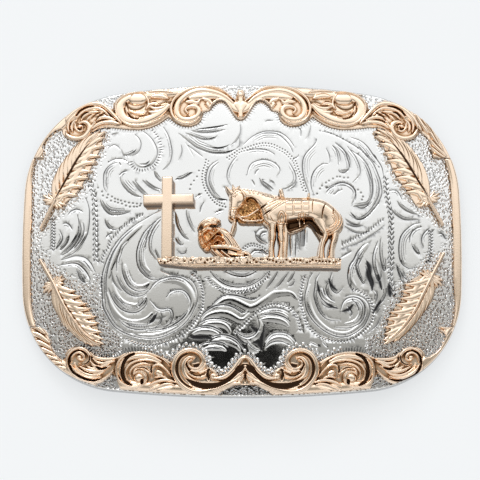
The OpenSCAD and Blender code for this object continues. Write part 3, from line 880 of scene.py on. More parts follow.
def face_field(step):
    f = Field(-54.4, -39.3, 54.4, 39.3, step)
    f.D = outline(f.X, f.Y)
    dome = np.zeros_like(f.H)
    for _, r, pts in rows(RAISED):
        p = smooth_path(on_face(pts))
        r *= PX
        p = p + [0, -0.1]
        got = f.trace(p, 2.1 * r)
        w, d, side, t = got
        gy, gx = np.gradient(d * side, f.step)
        facing = side * gy / np.maximum(np.hypot(gx, gy), 1e-6)
        swell = 0.25 + 0.75 * np.sin(np.pi * np.clip(t, 0, 1)) ** 0.5
        u = np.clip(d / (r * swell * (1.2 - 0.72 * np.clip(facing, -1, 1))), 0, 1)
        dome[w] = np.maximum(dome[w], 0.115 * (1 - u * u) ** 1.25 * swell)
    for kind, size, pts in rows(ENGRAVING):
        p = smooth_path(on_face(pts))
        width = size * PX
        bend = np.sign(turning(p)) if len(p) > 2 else 1
        if kind == "o":
            f.pit(on_face(pts), 1.6 * PX * size ** 0.3, 0.07, 1.0)
        elif kind in "jq":
            # j short dashes across the path, q two rows of dots along it, size px apart
            p = resample(p, 0.2) if len(p) > 400 else p
            run = np.r_[0, np.cumsum(np.hypot(*np.diff(p, axis=0).T))]
            at = np.arange(0, run[-1], 3.05 * PX)
            c = np.stack([np.interp(at, run, p[:, 0]), np.interp(at, run, p[:, 1])], -1)
            g = np.gradient(c, axis=0)
            nn = np.stack([-g[:, 1], g[:, 0]], -1) / np.maximum(np.hypot(*g.T), 1e-9)[:, None]
            if kind == "j":
                for a, b in zip(c, nn):
                    f.groove(a + b * (np.linspace(-0.5, 0.5, 4)[:, None] * width), 1.7 * PX, 0.08, 1.0, both="in")
            else:
                f.pit(c, 1.45 * PX, 0.07, 1.0)
                f.pit(c[:-1] + nn[:-1] * bend * width + 0.35 * np.diff(c, axis=0), 1.25 * PX, 0.06, 1.0)
        elif kind == "n":
            f.groove(p, size * PX * 1.1, 0.12, 1.0, lean=0.0, line_w=0.30)
        elif kind in "sz":
            # painted shade and reflection: a dark fill between the raised leaves, not on them
            before = f.dark.copy()
            f.groove(p, size * PX, 0.03, 1.0 if kind == "s" else 0.42, lean=0.0, line_w=0.8 * size * PX, gap=0.4)
            f.dark = np.where(dome > 0.025, before, f.dark)
        elif kind == "w":
            ticks(f, p, width, 3.1 * PX if size < 4.4 else 5.2 * PX)
        else:
            width = width * 1.2 + 0.10
            depth = {"c": 0.10, "d": 0.12, "m": 0.14, "k": 0.18, "f": 0.05}[kind]
            dark = {"c": 0.85, "d": 0.92, "m": 1.0, "k": 1.0, "f": 0.45}[kind]
            f.groove(p, width, depth, dark, lean=0.84 * bend)
            n = {"d": 1, "m": 3, "k": 1}.get(kind, 0)
            for q in range(n):
                cutoff = int(len(p) * (0.10 + 0.05 * q)), int(len(p) * (0.86 - 0.1 * q))
                part = p[cutoff[0]:cutoff[1]]
                if len(part) > 3:
                    away = bend * PX * (2.5 + 2.2 * q)
                    f.groove(shifted(part, away), 1.3 * PX, 0.06, 0.85 - 0.12 * q, lean=0.0, gap=0.4, add=True, line_w=0.16)
    # the lower half is cut deeper
    f.cut *= 1 + 0.3 * np.clip((4 - f.Y) / 12, 0, 1)
    return f, dome


def ticks(f, p, size, gap, depth=0.10):
    """Short curled cuts across a path, as a wriggled graver leaves them."""
    seg = np.hypot(*np.diff(p, axis=0).T)
    s = np.r_[0, np.cumsum(seg)]
    at = np.arange(gap / 2, s[-1], gap)
    q = np.stack([np.interp(at, s, p[:, 0]), np.interp(at, s, p[:, 1])], -1)
    t = np.stack([np.interp(at, s, np.gradient(p[:, 0], s)), np.interp(at, s, np.gradient(p[:, 1], s))], -1)
    t /= np.maximum(np.hypot(t[:, 0], t[:, 1]), 1e-9)[:, None]
    nn = np.stack([-t[:, 1], t[:, 0]], -1)
    u = np.linspace(-1, 1, 9)[:, None]
    for c, a, b in zip(q, t, nn):
        low = c[1] < -6
        if size > 3.9 * PX:
            path = c + b * u * size / 2 + a * (np.sin(u * 3.0) * gap * 0.40)
            f.groove(path, 1.5 * PX, 0.13 if low else depth, 1.0, lean=0.2, both=False)
        else:
            path = c + b * u * size / 2 + a * (np.sin(u * 2.6) * gap * 0.22)
            f.groove(path, 1.6 * PX, 0.2 if low else depth, 1.0, lean=0.3)


# ---------------------------------------------------------------- scroll borders, as bands in picture pixels
# top border, left half: half width px (x10 coded as number), height class, then points
TOP_INNER = """35,160.9 39.5,158.2 44.9,158.9 42.8,156.2 43.4,152.6 42.7,149.5 41.8,147 43.2,143 46.8,137.8 50.8,133 55,130 60,128.3 62,129 62,133 65,137 70,139.5 76,140.5 83,139.5 88,136 91,132
 94,130 98,127.5 104,126.5 112,126.5 120,127.5 130,128.5 140,128.5 150,126.5 158,123 164,119 168,116 171,118.5 176,122.5 182,125 190,125.5
 197,123 201,119.5 202.5,114 204,110.5 208,110 211,108 213,104 217,100.5 221,99.5 225,101 228,104.5 231,109.5 234,114 237.5,118 240.5,119"""
TOP_RIGHT = """418,130 422,131.8 426.5,135.5 429.5,140.5 430.2,146.5 432.5,151.7 433.2,157 434.7,160 439.2,162.6 444.5,163.6 450,163.4"""
TOP_HOLES = ["97,100 104,104 110,108 113,108.5 113,104 117,98.5 122,95 112,93 98,95",
             "212,84 220,87.5 227,92 232,96.5 235.3,99 236,95 236.8,92 238.5,89.8 241.5,89 243,80 212,78"]
TOP_BANDS = """
b 2.4 1.42 62,135 63,128 66,120.5 71,114.5 77,109.5 84,105.7 91,103.6 98,103.4 104,105.6 109,109.8 113.5,114.5 117.5,119 121,123
b 2.6 1.38 64,130 67,135 72,137.6 78,138 84,136 88,131.5 89.3,126.5 87,122.8 83,121.6 79,123
b 1.5 1.25 69,132 67.7,127 69,121.5 73,116.5 78,112.3 83,109.3
b 1.5 1.20 72.5,131.5 71.5,127 73,122.5 77,119
b 2.6 1.35 79.5,126.6 81,126.8
b 1.5 1.15 75,123 75.5,128 79,131 83.5,130
b 1.8 1.28 76,119 79.5,114.5 85,110.5 91,108.3 98,108 104,111 109,115.5
b 1.7 1.20 81,119.5 84.5,115.5 89,112.5 95,111.6 101,113 107,117
b 1.6 1.15 86.5,120 90,116.7 95,114.8 100,115.2
b 1.9 1.28 93.5,122 97,119 102,117.2 108,117.4 115,120
b 2.2 1.30 93,128 97,124.5 103,122.3 111,121.8 119,123.5
b 1.3 1.15 90.5,128.5 93,124 96,120.5
b 4.4 1.28 141,95 132,96.5 125,99.5 120.8,104 119.7,109.5 121.5,115 126,119.3 133,121 141,120.5 150,118 158,114 164,109.8 169,105
b 1.2 1.48 146,92.4 138,91.6 129,93.4 121,97.5 116.5,103 115.6,109 117.8,116 122.8,121.4 129.5,124.6 138,125.2 147,123.9 155,121 162,117 168,112.5
b 6.1 1.50 134.5,98.6 140.5,98.6
b 1.6 1.30 127.5,103 126.3,108 128.5,113.5 132.5,117.2 138,118.6 144.5,117.2
b 1.5 1.10 131,111.5 137,112.8 143,113 147,110.5
b 1.9 1.25 146,108.5 149.5,104.5 154.5,103.2 160,104.5
b 2.7 1.38 151,96.6 157,95.6 163,96.4 168,98.3
b 2.4 1.28 149,111.5 156,112 163,109.5 168,105.5
b 2.0 1.30 150,106.8 156,108.2 163,107 168,103
b 1.5 1.35 149,91.6 157,90.6 165,90.8 172,92.3
b 1.2 1.20 147,97 148.5,102 147.5,106
b 1.6 1.50 236.5,101.5 231,96.6 225,91.6 218,87.9 210,86.3 201,86.2 192,87.8 184,90.9 178,95 173.2,100.3 171,107 172,114 175.6,119 181.5,122.2 188.5,123 195,121 200,117
b 3.1 1.36 233,102.5 226,96.6 218,92.6 209,90.4 200,90 191.5,92 184.5,96 179,101.5 176.6,107.8 177.2,113.6 181,117.8 187,119.2 193.2,118 197.8,114.6 199,110.4 197,107 192.5,105.8 187.5,107 185.5,110 187.5,112.6
b 3.9 1.20 190,97.5 197,96.2 205,95.3 213,95 221,97
b 2.2 1.15 186,101.5 192,101.2 197,102.3 200,99.5
b 2.3 1.32 207.5,103.6 208.5,105.5
b 2.2 1.20 203,98.5 208.5,100 211.5,103
b 1.5 1.30 209.5,107.6 211.5,104 215,101 219.5,99.4 224,100.6 227.5,104.4 230.5,109 233.6,113.7 237.6,117.4
b 3.4 1.22 216,95.8 223,98 229.5,102.6 234.5,108 240.5,112
b 3.2 1.45 240.5,94 240.5,94.6
b 2.6 1.25 240.5,97 240.5,104
b 4.6 1.34 237.5,104.5 240.5,109
b 2.6 1.38 240.5,109 240.5,116
g 1.3 0.9 126,102.4 128.4,106.6 133,108.8 139,108.4 144.6,105
g 0.9 0.7 127.6,112.6 131.4,117 138,118.6
g 0.8 0.9 75.6,115.6 80,110.6 86,107.2 93,106
g 0.9 0.9 80.4,116.6 84.6,112.8 88,112
g 0.8 0.9 95,120.6 98.6,116 104.6,112.8
g 0.8 0.8 91,118 96,113.6 100,112
g 0.9 0.9 81.6,126.8 80,129 77.6,128
g 0.9 0.8 159,103.8 165,101.4 171,101.6
"""
BOTTOM_INNER = """30,323 33,327 37,326 42,328 45,332 50,340 50.5,346 53.5,352 58,356.5 62,360 65,357 65,353 68,349 73,346.3 80,345.5 86,347.5 90,351
 94,355 100,356.8 108,357.3 115,356.8 119,355.5 124,352.8 130,351.3 138,350.8 146,351.3 154,352.8 161,355.5 166,358.5 170,361.5 173,357.5
 176,353 181,349.5 187,347.6 194,348 200,350.5 204,355 206,360 206,364 208,367 212,367.5 215,370 217,374 222,375.5 228,372 233,366
 237,361 240,357 242.2,355.2 245,354.4"""
BOTTOM_RIGHT = """430,356.5 436,352.5 440.5,348 444,342.5 446.2,337 444.6,333.4 441.4,330.8 439,328 438.4,325.6 441,324.4 446,325.6 450,325.3 455,324.4"""
BOTTOM_HOLES = ["112.5,373.5 107,378.5 101,382 96,384 97,387 104,391 112,393 122,393.5 120,388.5 117.5,382.5 115.6,377",
                "246,384.5 240,384.5 232,386 225,389.5 218,394 222,400 246,401"]
BOTTOM_BANDS = """
b 1.9 1.40 113,370.5 107.5,376 100.5,380 93,381.3 85,379.8 77,375.3 71,369.6 67.6,363 67.6,357 70.6,352 75.6,348.9 81,348.2 86,350.6 89.3,355 89.3,360 86.5,363.3 82.5,364.3 79,363
b 1.4 1.28 71,365 74.5,369.8 80,374.4 87,377.6 94,378 101,375.8
b 1.5 1.25 71.3,361.5 71.8,356.5 74.6,353.2 79,352.3 82.8,354.2 83.8,357.6 81.5,360 78.5,359
b 2.0 1.30 78.6,357 79.6,357
b 1.4 1.18 74.3,364.5 78.5,369.5 84.5,373.3 91,375 98,374.2 104,371.3
b 1.8 1.30 80,366.3 86,369.6 93,371.4 99,370.8 105,368.3 110.5,365.5
b 1.4 1.12 86.5,365.5 91,368.2 96,368.4 99,367
b 1.8 1.32 90.3,361 93.8,365.3 99,367 104,365.6 109.5,362.3 115,361
b 1.4 1.15 93,358.6 97,361.8 103,363 109,360.8 114,359
b 1.9 1.40 90.5,352.5 95,357 101,358.7 108,359 116,358.2
b 1.3 1.48 169.5,366 164.5,360.4 157,355.9 149,353.3 141,352.4 133,353.1 125,355.7 119.3,360.2 116.6,366 116.4,373 118.6,379.6 123.6,384.1 130,386.4 137,386.5 143,384 146.4,379.5 145.9,374.5 142.4,371.3 138,371.4
b 2.5 1.34 161,361.3 152,357.3 144,355.9 136,356.4 128,358.6 122.6,362.5 120,368 120,374 122.2,379.5
b 1.3 1.22 166,369 161,364.2 154,360.9 146,359.7 138,360.3 131,363.1 126.6,367.6 125.1,373 126.6,378.5 130,382
b 1.2 1.12 151,364.8 143.5,363.2 136.5,364.7 131.5,368.6 129.8,373.5 131.6,378
b 1.2 1.08 147,368 140,367 134.8,369.5 133,374
b 4.2 1.45 138.4,378 138.9,377.4
b 1.4 1.30 133.6,374.6 136.6,371.9 140.6,371.6 144,374.6 144.7,379 142.6,383
b 1.3 1.32 151.6,377 150.7,371 152.5,366.5 157,364.6 162.6,366.6 167.2,371 171.4,376.5
b 3.0 1.25 158,372.4 160,373.6
b 1.3 1.20 155,377.5 161,376 167,378
b 1.7 1.34 149,385.6 155,382.2 162,380.3 169,380.2 175.5,382.3
b 1.5 1.26 150,389.3 157,387.2 163.5,384.5 170,383.8 174.5,385
b 1.1 1.15 157,390 165,388 172,387
b 2.4 1.42 240,382.5 232,384 224,387.6 213,391.4 202,392.7 191.5,391 183.4,386.5 177.3,380 173.8,373 173.3,366 175.4,359 179.8,353.3 186,350.2 192.5,349.9 198.4,352.2 202.4,356.7 203.3,361.5 200.8,365.8 196.5,368.3 191.6,367.8 188.6,365 188.6,361.6 191.6,359.7
b 2.3 1.26 206,383.6 199,383.4 191.5,380.6 186,376 183.4,370.5 183.2,365 185.4,360 189.3,357 193.8,357.2
b 1.7 1.34 207.5,371.5 205,375.7 199.5,377 193,375.5 187.6,371.2 185.6,366
b 3.1 1.36 212.9,375.9 213.5,376.5
b 1.5 1.28 210.5,369.6 214.6,371.6 217.4,375.6
b 2.6 1.42 214.6,378.4 222,377.6 228.4,374.3 234,368.8 238,363.2 241.4,358.8 245.2,357.2
b 2.1 1.28 230.5,381.6 236,377.2 240.6,373.2 243.8,370.6
b 1.6 1.18 238,382.4 241.8,378.2 243.9,374
b 2.7 1.40 245.2,387.2 245.2,388
b 2.5 1.40 181,384.5 187.5,389 196,391.6 206,391.2 216,388.6 226,384.8 235,380.6 241,376.6
g 1.0 1.0 78.4,349.8 73.2,352.4 69.6,357.1 68.9,363.7 71.9,370.6 77,375 85.8,379 93.6,380.4 101,378.6
g 0.9 0.9 89.6,356 88.6,360.6 85.2,363.4 81,364
g 1.5 1.0 134,353.6 128,356.6 124.6,360.8 122.9,366 122.2,372 123.2,377.7 126.4,382.2 131,384.9
g 1.2 1.0 142,379.4 141.8,384
g 1.0 1.0 151.6,365.2 150.9,368.6 151.6,372.6
g 1.0 0.9 96,366.6 101,368.8 106.4,367.4
g 0.8 0.8 137,367.6 143.6,367 149.4,371
g 1.2 1.0 187,353.4 181.6,356.4 178.4,361 177.2,366.4 177.8,373 180.6,379 185.6,383.8 192,387
g 3.1 1.0 185,377.8 191,381.8 198,384.4 206,385.4 214,385 222,383 230,380
g 3.0 1.0 235,372.6 240,368.4 245.2,366.2
b 1.5 1.18 190.5,370.2 197,371 203,368 206.4,362.6
b 1.2 1.10 200,372.6 207,369.4
g 1.7 1.0 217,383 226,380.6 233,375.4 238.6,368.8 242.4,364.8 245.2,363.9
g 2.0 1.0 192.4,364 196,365.2 199.4,362.8
g 1.3 1.0 209.2,368 207.8,372 208,376 208.6,380
g 0.8 1.0 245.2,370.5 245.2,382
g 0.9 0.8 190,372.4 195.4,375 201,375.4
"""
# lines between the flutes of the fans, from the outside in, and the ribs of the leaf tips
FAN_TOP = ["410,112 414,119 418,128", "413,112 418.5,122 424.5,131.5", "419,116 426,125.5 431.5,133.5", "425,121 431,130 437,140",
           "430,126.5 434,135 440,145.5", "430,135.5 436,143.2 444,152.5", "430,143 437,150 447,157.6", "431.6,150.6 440,156 449.5,161",
           "433.4,158 440,161.4 449,163.6"]
FAN_BOTTOM = ["27,320.6 34,322.6 42,327.4", "29.5,327.5 38,330.8 48,339", "33,336 40,339.5 50,345.4", "37,344 44,347 52.5,351.6",
              "42,351.5 48,353.8 56,357.5", "47.5,358 53,359.6 60,361.6", "53,364 58,364.6 64,366", "59,369 62,369.4 66,371"]
LEAF_TOP = ["2.6 1.26 42.6,149.5 41.4,153 39.4,156 36.6,158.6 34,160", "1.5 1.18 38.5,156.8 41.5,157 44.6,158.6",
            "1.0 1.05 47,138.4 44.6,142 42.8,146"]
LEAF_BOTTOM = ["2.7 1.26 453.6,325.4 451,328 448.4,331.4 446.6,336", "1.6 1.20 439.4,326.2 443.6,327.4 448,328.2 452,327",
               "1.5 1.10 441,329.6 444.4,332.2 446.6,336", "1.0 1.05 445.6,339 443.6,343 440.6,347.6"]


def resample_n(p, n):
    """n points evenly along a path."""
    run = np.r_[0, np.cumsum(np.hypot(*np.diff(p, axis=0).T))]
    at = np.linspace(0, run[-1], n)
    return np.stack([np.interp(at, run, p[:, 0]), np.interp(at, run, p[:, 1])], -1)


def points(text):
    return np.array([[float(v) for v in p.split(",")] for p in text.split()])


def border_field(side, step):
    """side 1 is the top border, -1 the bottom one. The left half is drawn and copied to the right."""
    inner, right, corner, holes, bands, axis = (
        (TOP_INNER, TOP_RIGHT, 13, TOP_HOLES, TOP_BANDS, 240.6) if side > 0
        else (BOTTOM_INNER, BOTTOM_RIGHT, 10, BOTTOM_HOLES, BOTTOM_BANDS, 245.2))
    h_at = 1.2
    x0 = on_face([[axis, 110 if side > 0 else 370]], h_at)[0, 0]
    half = int(52.4 / step)
    f = Field(x0 - half * step, 20.4 if side > 0 else -38.8, x0 + half * step, 38.8 if side > 0 else -20.4, step)
    p = on_face(points(inner), h_at)
    p[-1, 0] = x0
    far = side * 60
    q = on_face(points(right), h_at)
    poly = np.vstack([p, p[corner:][::-1][1:] * [-1, 1] + [2 * x0, 0], q,
                      [[80, q[-1, 1]], [80, far], [-80, far], [-80, p[0, 1]]]])
    f.D = f.polygon(poly)
    for t in holes:
        q = on_face(points(t), h_at)
        for m in (1, -1):
            qq = q if m == 1 else np.stack([2 * x0 - q[:, 0], q[:, 1]], -1)
            f.D = np.maximum(f.D, -f.polygon(qq))
    rim = outline(f.X, f.Y) + 0.5 - 0.38 * np.clip((np.abs(f.X) - 36.5) / 7, 0, 1)
    keep = np.maximum(f.D, 21.17 - side * f.Y)
    f.H[:] = 0.55
    # the land along the edge
    land = 0.55 + 0.47 * np.sqrt(np.clip(1 - np.abs((rim + 1.05) / 1.15) ** 2.3, 0, 1))
    f.H = np.maximum(f.H, land)
    mid = len(f.x) // 2
    for line in bands.strip().splitlines():
        kind, r, top, *pts = line.split()
        q = smooth_path(on_face(points(" ".join(pts)), h_at), 0.3)
        r = float(r) * PX
        if kind == "g":
            valley(f, q, r, float(top))
            continue
        ends = [0.45, 0.85, 1, 1, 1, 1, 0.85, 0.4] if len(q) > 8 else [1.0]
        f.ribbon(q, np.array(ends) * r * 1.06, float(top), base=0.66, edge=False, power=2.7 if side > 0 else 2.3)
    f.H[:, mid + 1:] = f.H[:, :mid][:, ::-1]
    f.dark[:, mid + 1:] = f.dark[:, :mid][:, ::-1]
    # a fluted fan at one corner and a leaf tip at the other, each cleared down to the land first
    fan, leaf = (FAN_TOP, LEAF_TOP) if side > 0 else (FAN_BOTTOM, LEAF_BOTTOM)
    for m in (1, -1):
        clear = (m * f.X > 43.6) & (np.abs(f.Y) < 31.5) | (m * f.X > 46.2)
        f.H = np.where(clear, 0.62 if m == side else np.minimum(land, 0.98), f.H)
        f.dark = np.where(clear, 0.0, f.dark)
    fan = [smooth_path(on_face(points(t), h_at), 0.3) for t in fan]
    for a, b in zip(fan[:-1], fan[1:]):
        f.ribbon((resample_n(a, 24) + resample_n(b, 24)) / 2, np.array([0.5, 0.9, 1, 1, 0.9, 0.5]) * 2.75 * PX, 1.24, base=0.62,
                 edge=False, power=1.9)
    for a in fan[1:-1]:
        f.groove(a, 0.30, 0.17, 0.72, gap=0.35, line_w=0.19)
    for t in leaf:
        r, top, *pts = t.split()
        f.ribbon(smooth_path(on_face(points(" ".join(pts)), h_at), 0.3), np.array([0.5, 0.9, 1, 1, 0.8, 0.3]) * float(r) * PX,
                 float(top), base=0.62, edge=False, power=2.2)
    f.D = np.maximum(keep, rim)
    soften(f, 0.22)
    return f


def valley(f, q, r, dark):
    """A sunk channel r to either side of a path, darkened along its floor: tarnish and painted shade."""
    got = f.trace(q, r + 0.2)
    if got is None:
        return
    w, d, side, t = got
    rr = r * ((0.35 + 0.65 * np.sin(np.pi * np.clip(t, 0, 1)) ** 0.4) if r < 0.45 else np.sin(np.pi * np.clip(t, 0, 1)) ** 0.8)
    u = np.clip((rr + 0.12 - d) / 0.24, 0, 1)
    f.H[w] = f.H[w] + (np.minimum(f.H[w], 0.42) - f.H[w]) * u
    f.dark[w] = np.maximum(f.dark[w], dark * np.clip((rr + 0.05 - d) / 0.16, 0, 1))


def soften(f, r=0.2, drop=None):
    """Rounds the top edge of the piece over r mm."""
    drop = r if drop is None else drop
    u = np.clip(1 + f.D / r, 0, 1)
    f.H = f.H - drop * (1 - np.sqrt(np.clip(1 - u * u, 0, 1)))


def hollow_tarnish_and_shade(f, radius, gain):
    """Where the surface lies below its surroundings, 0 to 1: darkening for recesses, tarnish and painted shade."""
    H = np.where(f.D < 0.05, f.H - f.cut, 0.4)
    r = max(1, int(radius / f.step))
    return np.clip((box_blur(H, r) - H) * gain, 0, 1)


# ---------------------------------------------------------------- feathers, in picture pixels
FEATHERS = {
    "upper_left": ("41,228 54,202", "54,201 58,194 62,187 68,176 75,163 81,154 88,145 97,136 103,131.5",
                   "49,200 50,190 53,179 58,169 65,158 74,146.5 84,138 93,132.5 102,130.5",
                   "61,208 69,202 77,195 83,187 88,178 93,168 98,158 102,149 104.5,140 104.5,132"),
    "upper_right": ("442.5,224 429,200", "429,199 424,190 418.8,182 413,172 407.6,163 400,152 391.6,142.4 382,134 375,129.5",
                    "433,192 432,184 428.4,179 425,170 422,163 417,155 410.8,147.2 405,141 399.6,136.5 390,131.5 381,128.5 375,128.5",
                    "420,211 413,204 407.6,195 401,186 396,179 391,170 388.4,163 384,153 380.4,144 376,137 373,131"),
    "lower_left": ("40,260 53,283", "53.5,284 58,294 62,302 66,309 70,315 78,326 85,334.5 95,341.5 102,345",
                   "50,291 50,299 52,306 57,312 60,318 64,326 71,332 79,339 88,344.5 96,346.5 102,346",
                   "60,283 69,285 76,291 82,297 88,304 93,311 97,319 100,328 102,336 103.5,344"),
    "lower_right": ("443.6,253.6 432,276", "431.6,277.5 426.8,286.4 421,298 415.6,308.8 409,318.5 402.8,326.4 396.4,333 390,338.5 384,342.5",
                    "439.6,280 439,287 436.4,293.8 433,300 428.4,306 424,312 418.8,318.8 413,326 406,333.5 398,340 390,343.5 384,344",
                    "420,272 413,276 406,281.6 402,290 399.6,299 394,305 390,311 387,317 385.2,324 383.5,332 383.5,340"),
}


def feather_field(name, step=0.1):
    quill, shaft, left, right = [on_face(points(t), 0.9) for t in FEATHERS[name]]
    every = np.vstack([quill, shaft, left, right])
    lo, hi = every.min(0) - 1.2, every.max(0) + 1.2
    f = Field(lo[0], lo[1], hi[0], hi[1], step)
    f.D[:] = 5
    shaft_p = smooth_path(shaft, 0.25)
    seed = {"upper_left": 1, "upper_right": 2, "lower_left": 3, "lower_right": 4}[name]
    rng = np.random.default_rng(seed)

    def at(p, t):
        seg = np.hypot(*np.diff(p, axis=0).T)
        s = np.r_[0, np.cumsum(seg)]
        s /= s[-1]
        return np.array([np.interp(t, s, p[:, 0]), np.interp(t, s, p[:, 1])])

    # vane body under the barbs
    vane = np.vstack([smooth_path(left, 0.4), smooth_path(right, 0.4)[::-1]])
    body = f.polygon(vane) + 0.55
    f.D = np.minimum(f.D, body)
    f.H = np.where(body < 0, 0.55, f.H)
    narrow, wide = smooth_path(left, 0.3), smooth_path(right, 0.3)
    # narrow side: long barbs that lie nearly along the shaft
    for i in range(8):
        t0 = 0.0 + 0.62 * i / 7
        t1 = min(t0 + 0.34 + 0.04 * rng.random(), 1.0)
        a, b = at(shaft_p, t0), at(narrow, t1)
        d = at(shaft_p, min(t0 + 0.16, 1)) - a
        p = smooth_path(np.array([a, a + (b - a) * 0.45 + d * 0.02 + (at(narrow, (t0 + t1) / 2) - (a + b) / 2) * 0.5, b]), 0.2)
        f.ribbon(p, np.array([0.5, 0.9, 1.0, 0.8, 0.2]) * 0.62, 1.04 + 0.06 * rng.random(), base=0.80, power=2.5)
        if i:
            f.groove(shifted(p[len(p) // 3:], 0.45), 0.26, 0.09, 0.62, gap=0.4)
    # wide side: smooth by the shaft, then pointed lobes with notches between them, painted dark as shade under each
    # lobe
    core = smooth_path(shaft, 0.25)
    f.ribbon(np.stack([at(core, t) * 0.62 + at(wide, min(t + 0.06, 1)) * 0.38 for t in np.linspace(0.02, 0.92, 24)]),
             np.array([0.4, 0.8, 1.0, 1.0, 0.9, 0.6, 0.3]) * 1.05, 1.12, base=0.6, power=2.6)
    for i in range(9):
        t0 = 0.02 + 0.80 * i / 8
        t1 = min(t0 + 0.20 + 0.03 * rng.random(), 1.0)
        a, b = at(shaft_p, t0), at(wide, t1)
        d = at(shaft_p, min(t0 + 0.12, 1)) - a
        out = (b - a) / max(np.hypot(*(b - a)), 1e-6)
        b = b + out * rng.uniform(-0.15, 0.35)
        mid = a + (b - a) * 0.45 + d * 0.28
        p = smooth_path(np.array([a, mid, b]), 0.2)
        f.ribbon(p, np.array([0.5, 0.9, 1.0, 0.85, 0.5, 0.08]) * (0.76 + 0.1 * rng.random()), 1.10 + 0.12 * rng.random(), base=0.78, power=2.4)
        cut = p[int(len(p) * 0.48):]
        f.groove(shifted(cut, -0.60), 0.40, 0.26, 0.9, gap=0.35, both="out")
    # downy tufts at the quill's node
    node = shaft[0]
    back = quill[0] - node
    back /= np.hypot(*back)
    side = np.array([-back[1], back[0]])
    for ang, ln in ((-118, 2.6), (-96, 3.2), (-75, 2.9), (-52, 2.2), (52, 2.2), (75, 2.9), (96, 3.2), (118, 2.6)):
        c, s = math.cos(math.radians(ang)), math.sin(math.radians(ang))
        v = back * c + side * s
        p = smooth_path(np.array([node + v * 0.3, node + v * ln * 0.6 + back * 0.12, node + v * ln]), 0.2)
        f.ribbon(p, np.array([0.5, 1, 0.9, 0.3]) * 0.46, 1.05, base=0.5)
    # the shaft, and the quill below it
    line = np.vstack([smooth_path(quill, 0.25), shaft_p[2:int(len(shaft_p) * 0.93)]])
    # painted shade: the upper feathers get a deep groove painted fully dark along the shaft, the lower ones a fainter
    # groove beside a bright ridge
    if name.startswith("upper"):
        f.ribbon(line, [0.42, 0.5, 0.46, 0.30, 0.26, 0.22, 0.12], 1.36, base=0.7)
        f.groove(smooth_path(shaft, 0.25)[1:int(len(shaft_p) * 0.8)], 0.62, 0.42, 1.0, gap=0.35, line_w=0.42)
    else:
        f.ribbon(line, [0.42, 0.5, 0.5, 0.42, 0.34, 0.26, 0.16], 1.38, base=0.7)
        f.groove(shifted(smooth_path(shaft, 0.25)[2:int(len(shaft_p) * 0.9)], 0.5), 0.26, 0.16, 0.7, gap=0.4)
    f.H = np.where(f.D < 0.3, f.H, 0.5)
    soften(f, 0.12)
    # hollows darkened, more on the lower feathers: tarnish and painted shade
    f.dark = np.maximum(f.dark, hollow_tarnish_and_shade(f, 0.35, 1.9 if name.startswith("lower") else 1.3))
    return f


# ---------------------------------------------------------------- figure group
# t tube: half widths, top mm, side mm; p swelled outline: edge radius mm, top mm, side mm; w low rough web: top mm,
# darkening of the recess (tarnish and painted shade)
def sculpt(f, text, layer=2.6):
    for line in text.strip().splitlines():
        line = line.split("#")[0].strip()
        if not line:
            continue
        kind, a, b, c, *pts = line.split()
        q = on_face(points(" ".join(pts)), layer)
        if kind == "t":
            r = np.array([float(v) for v in a.split("/")]) * PX
            f.ribbon(smooth_path(q, 0.2), r, float(b), sides=float(c), power=2.2)
            continue
        d = f.polygon(smooth_loop(q))
        if kind == "p":
            h = swelled(d, float(a), float(b), float(c))
            f.H = np.where(d < 0, np.maximum(f.H, h), f.H)
        else:
            # low web: its darkening is tarnish and painted shade in the recess, deepest in its rough hollows
            rough = value_noise(f.X, f.Y, 0.42, 21) + 0.6 * value_noise(f.X, f.Y, 0.2, 22)
            amp = 0.42 if kind == "w" else 0.0
            f.H = np.where((d < 0) & (f.H < float(a)), float(a) + amp * (rough - 0.8), f.H)
            f.dark = np.where(d < 0, np.maximum(f.dark, float(b) * (1 + 1.2 * amp * (0.8 - rough))), f.dark)
        f.D = np.minimum(f.D, d)


def smooth_loop(q):
    """A closed curve through the points."""
    k = len(q)
    wrap = smooth_path(np.vstack([q[-2:], q, q[:2]]), 0.3)
    lo = np.argmin(np.hypot(*(wrap[:len(wrap) // 2] - q[0]).T))
    tail = len(wrap) // 2 + np.argmin(np.hypot(*(wrap[len(wrap) // 2:] - q[0]).T))
    return wrap[lo:tail]


def swelled(d, r, top, side):
    u = np.clip(1 + d / r, 0, 1)
    return side + (top - side) * np.sqrt(np.clip(1 - u * u, 0, 1))


def straps(f, text, layer=2.8):
    """Raised bands that follow the surface under them: half width px, height proud mm, dark joint and painted shade
    beside, points.
    """
    for line in text.strip().splitlines():
        line = line.split("#")[0].strip()
        if not line:
            continue
        r, proud, edge, *pts = line.split()
        r, proud, edge = float(r) * PX, float(proud), 0.72 * float(edge)
        q = smooth_path(on_face(points(" ".join(pts)), layer), 0.15)
        got = f.trace(q, r + 0.25)
        if got is None:
            continue
        w, d, side, t = got
        near = d < r + 0.05
        ground = f.H[w][near & (f.D[w] < 0)]
        if len(ground) == 0:
            continue
        u = np.clip(d / r, 0, 1)
        rise = proud * np.sqrt(np.clip(1 - u ** 2.6, 0, 1))
        f.H[w] = np.where((u < 1) & (f.D[w] < 0), np.minimum(f.H[w] + rise, 3.95), f.H[w])
        # a dark band cut and painted along each side of the strap: a dark joint with painted shade beside it; the
        # strap's top is kept light
        band = np.clip(1 - np.abs(d - r - 0.05) / 0.14, 0, 1)
        f.dark[w] = np.maximum(f.dark[w] * np.where(u < 0.85, 0.2, 1.0), edge * band)
        f.H[w] -= 0.09 * edge * band


def grooves(f, text, layer=2.8):
    for line in text.strip().splitlines():
        line = line.split("#")[0].strip()
        if not line:
            continue
        wd, dp, dk, *pts = line.split()
        f.groove(smooth_path(on_face(points(" ".join(pts)), layer), 0.15), float(wd) * PX, float(dp), float(dk), line_w=0.5 * float(wd) * PX)


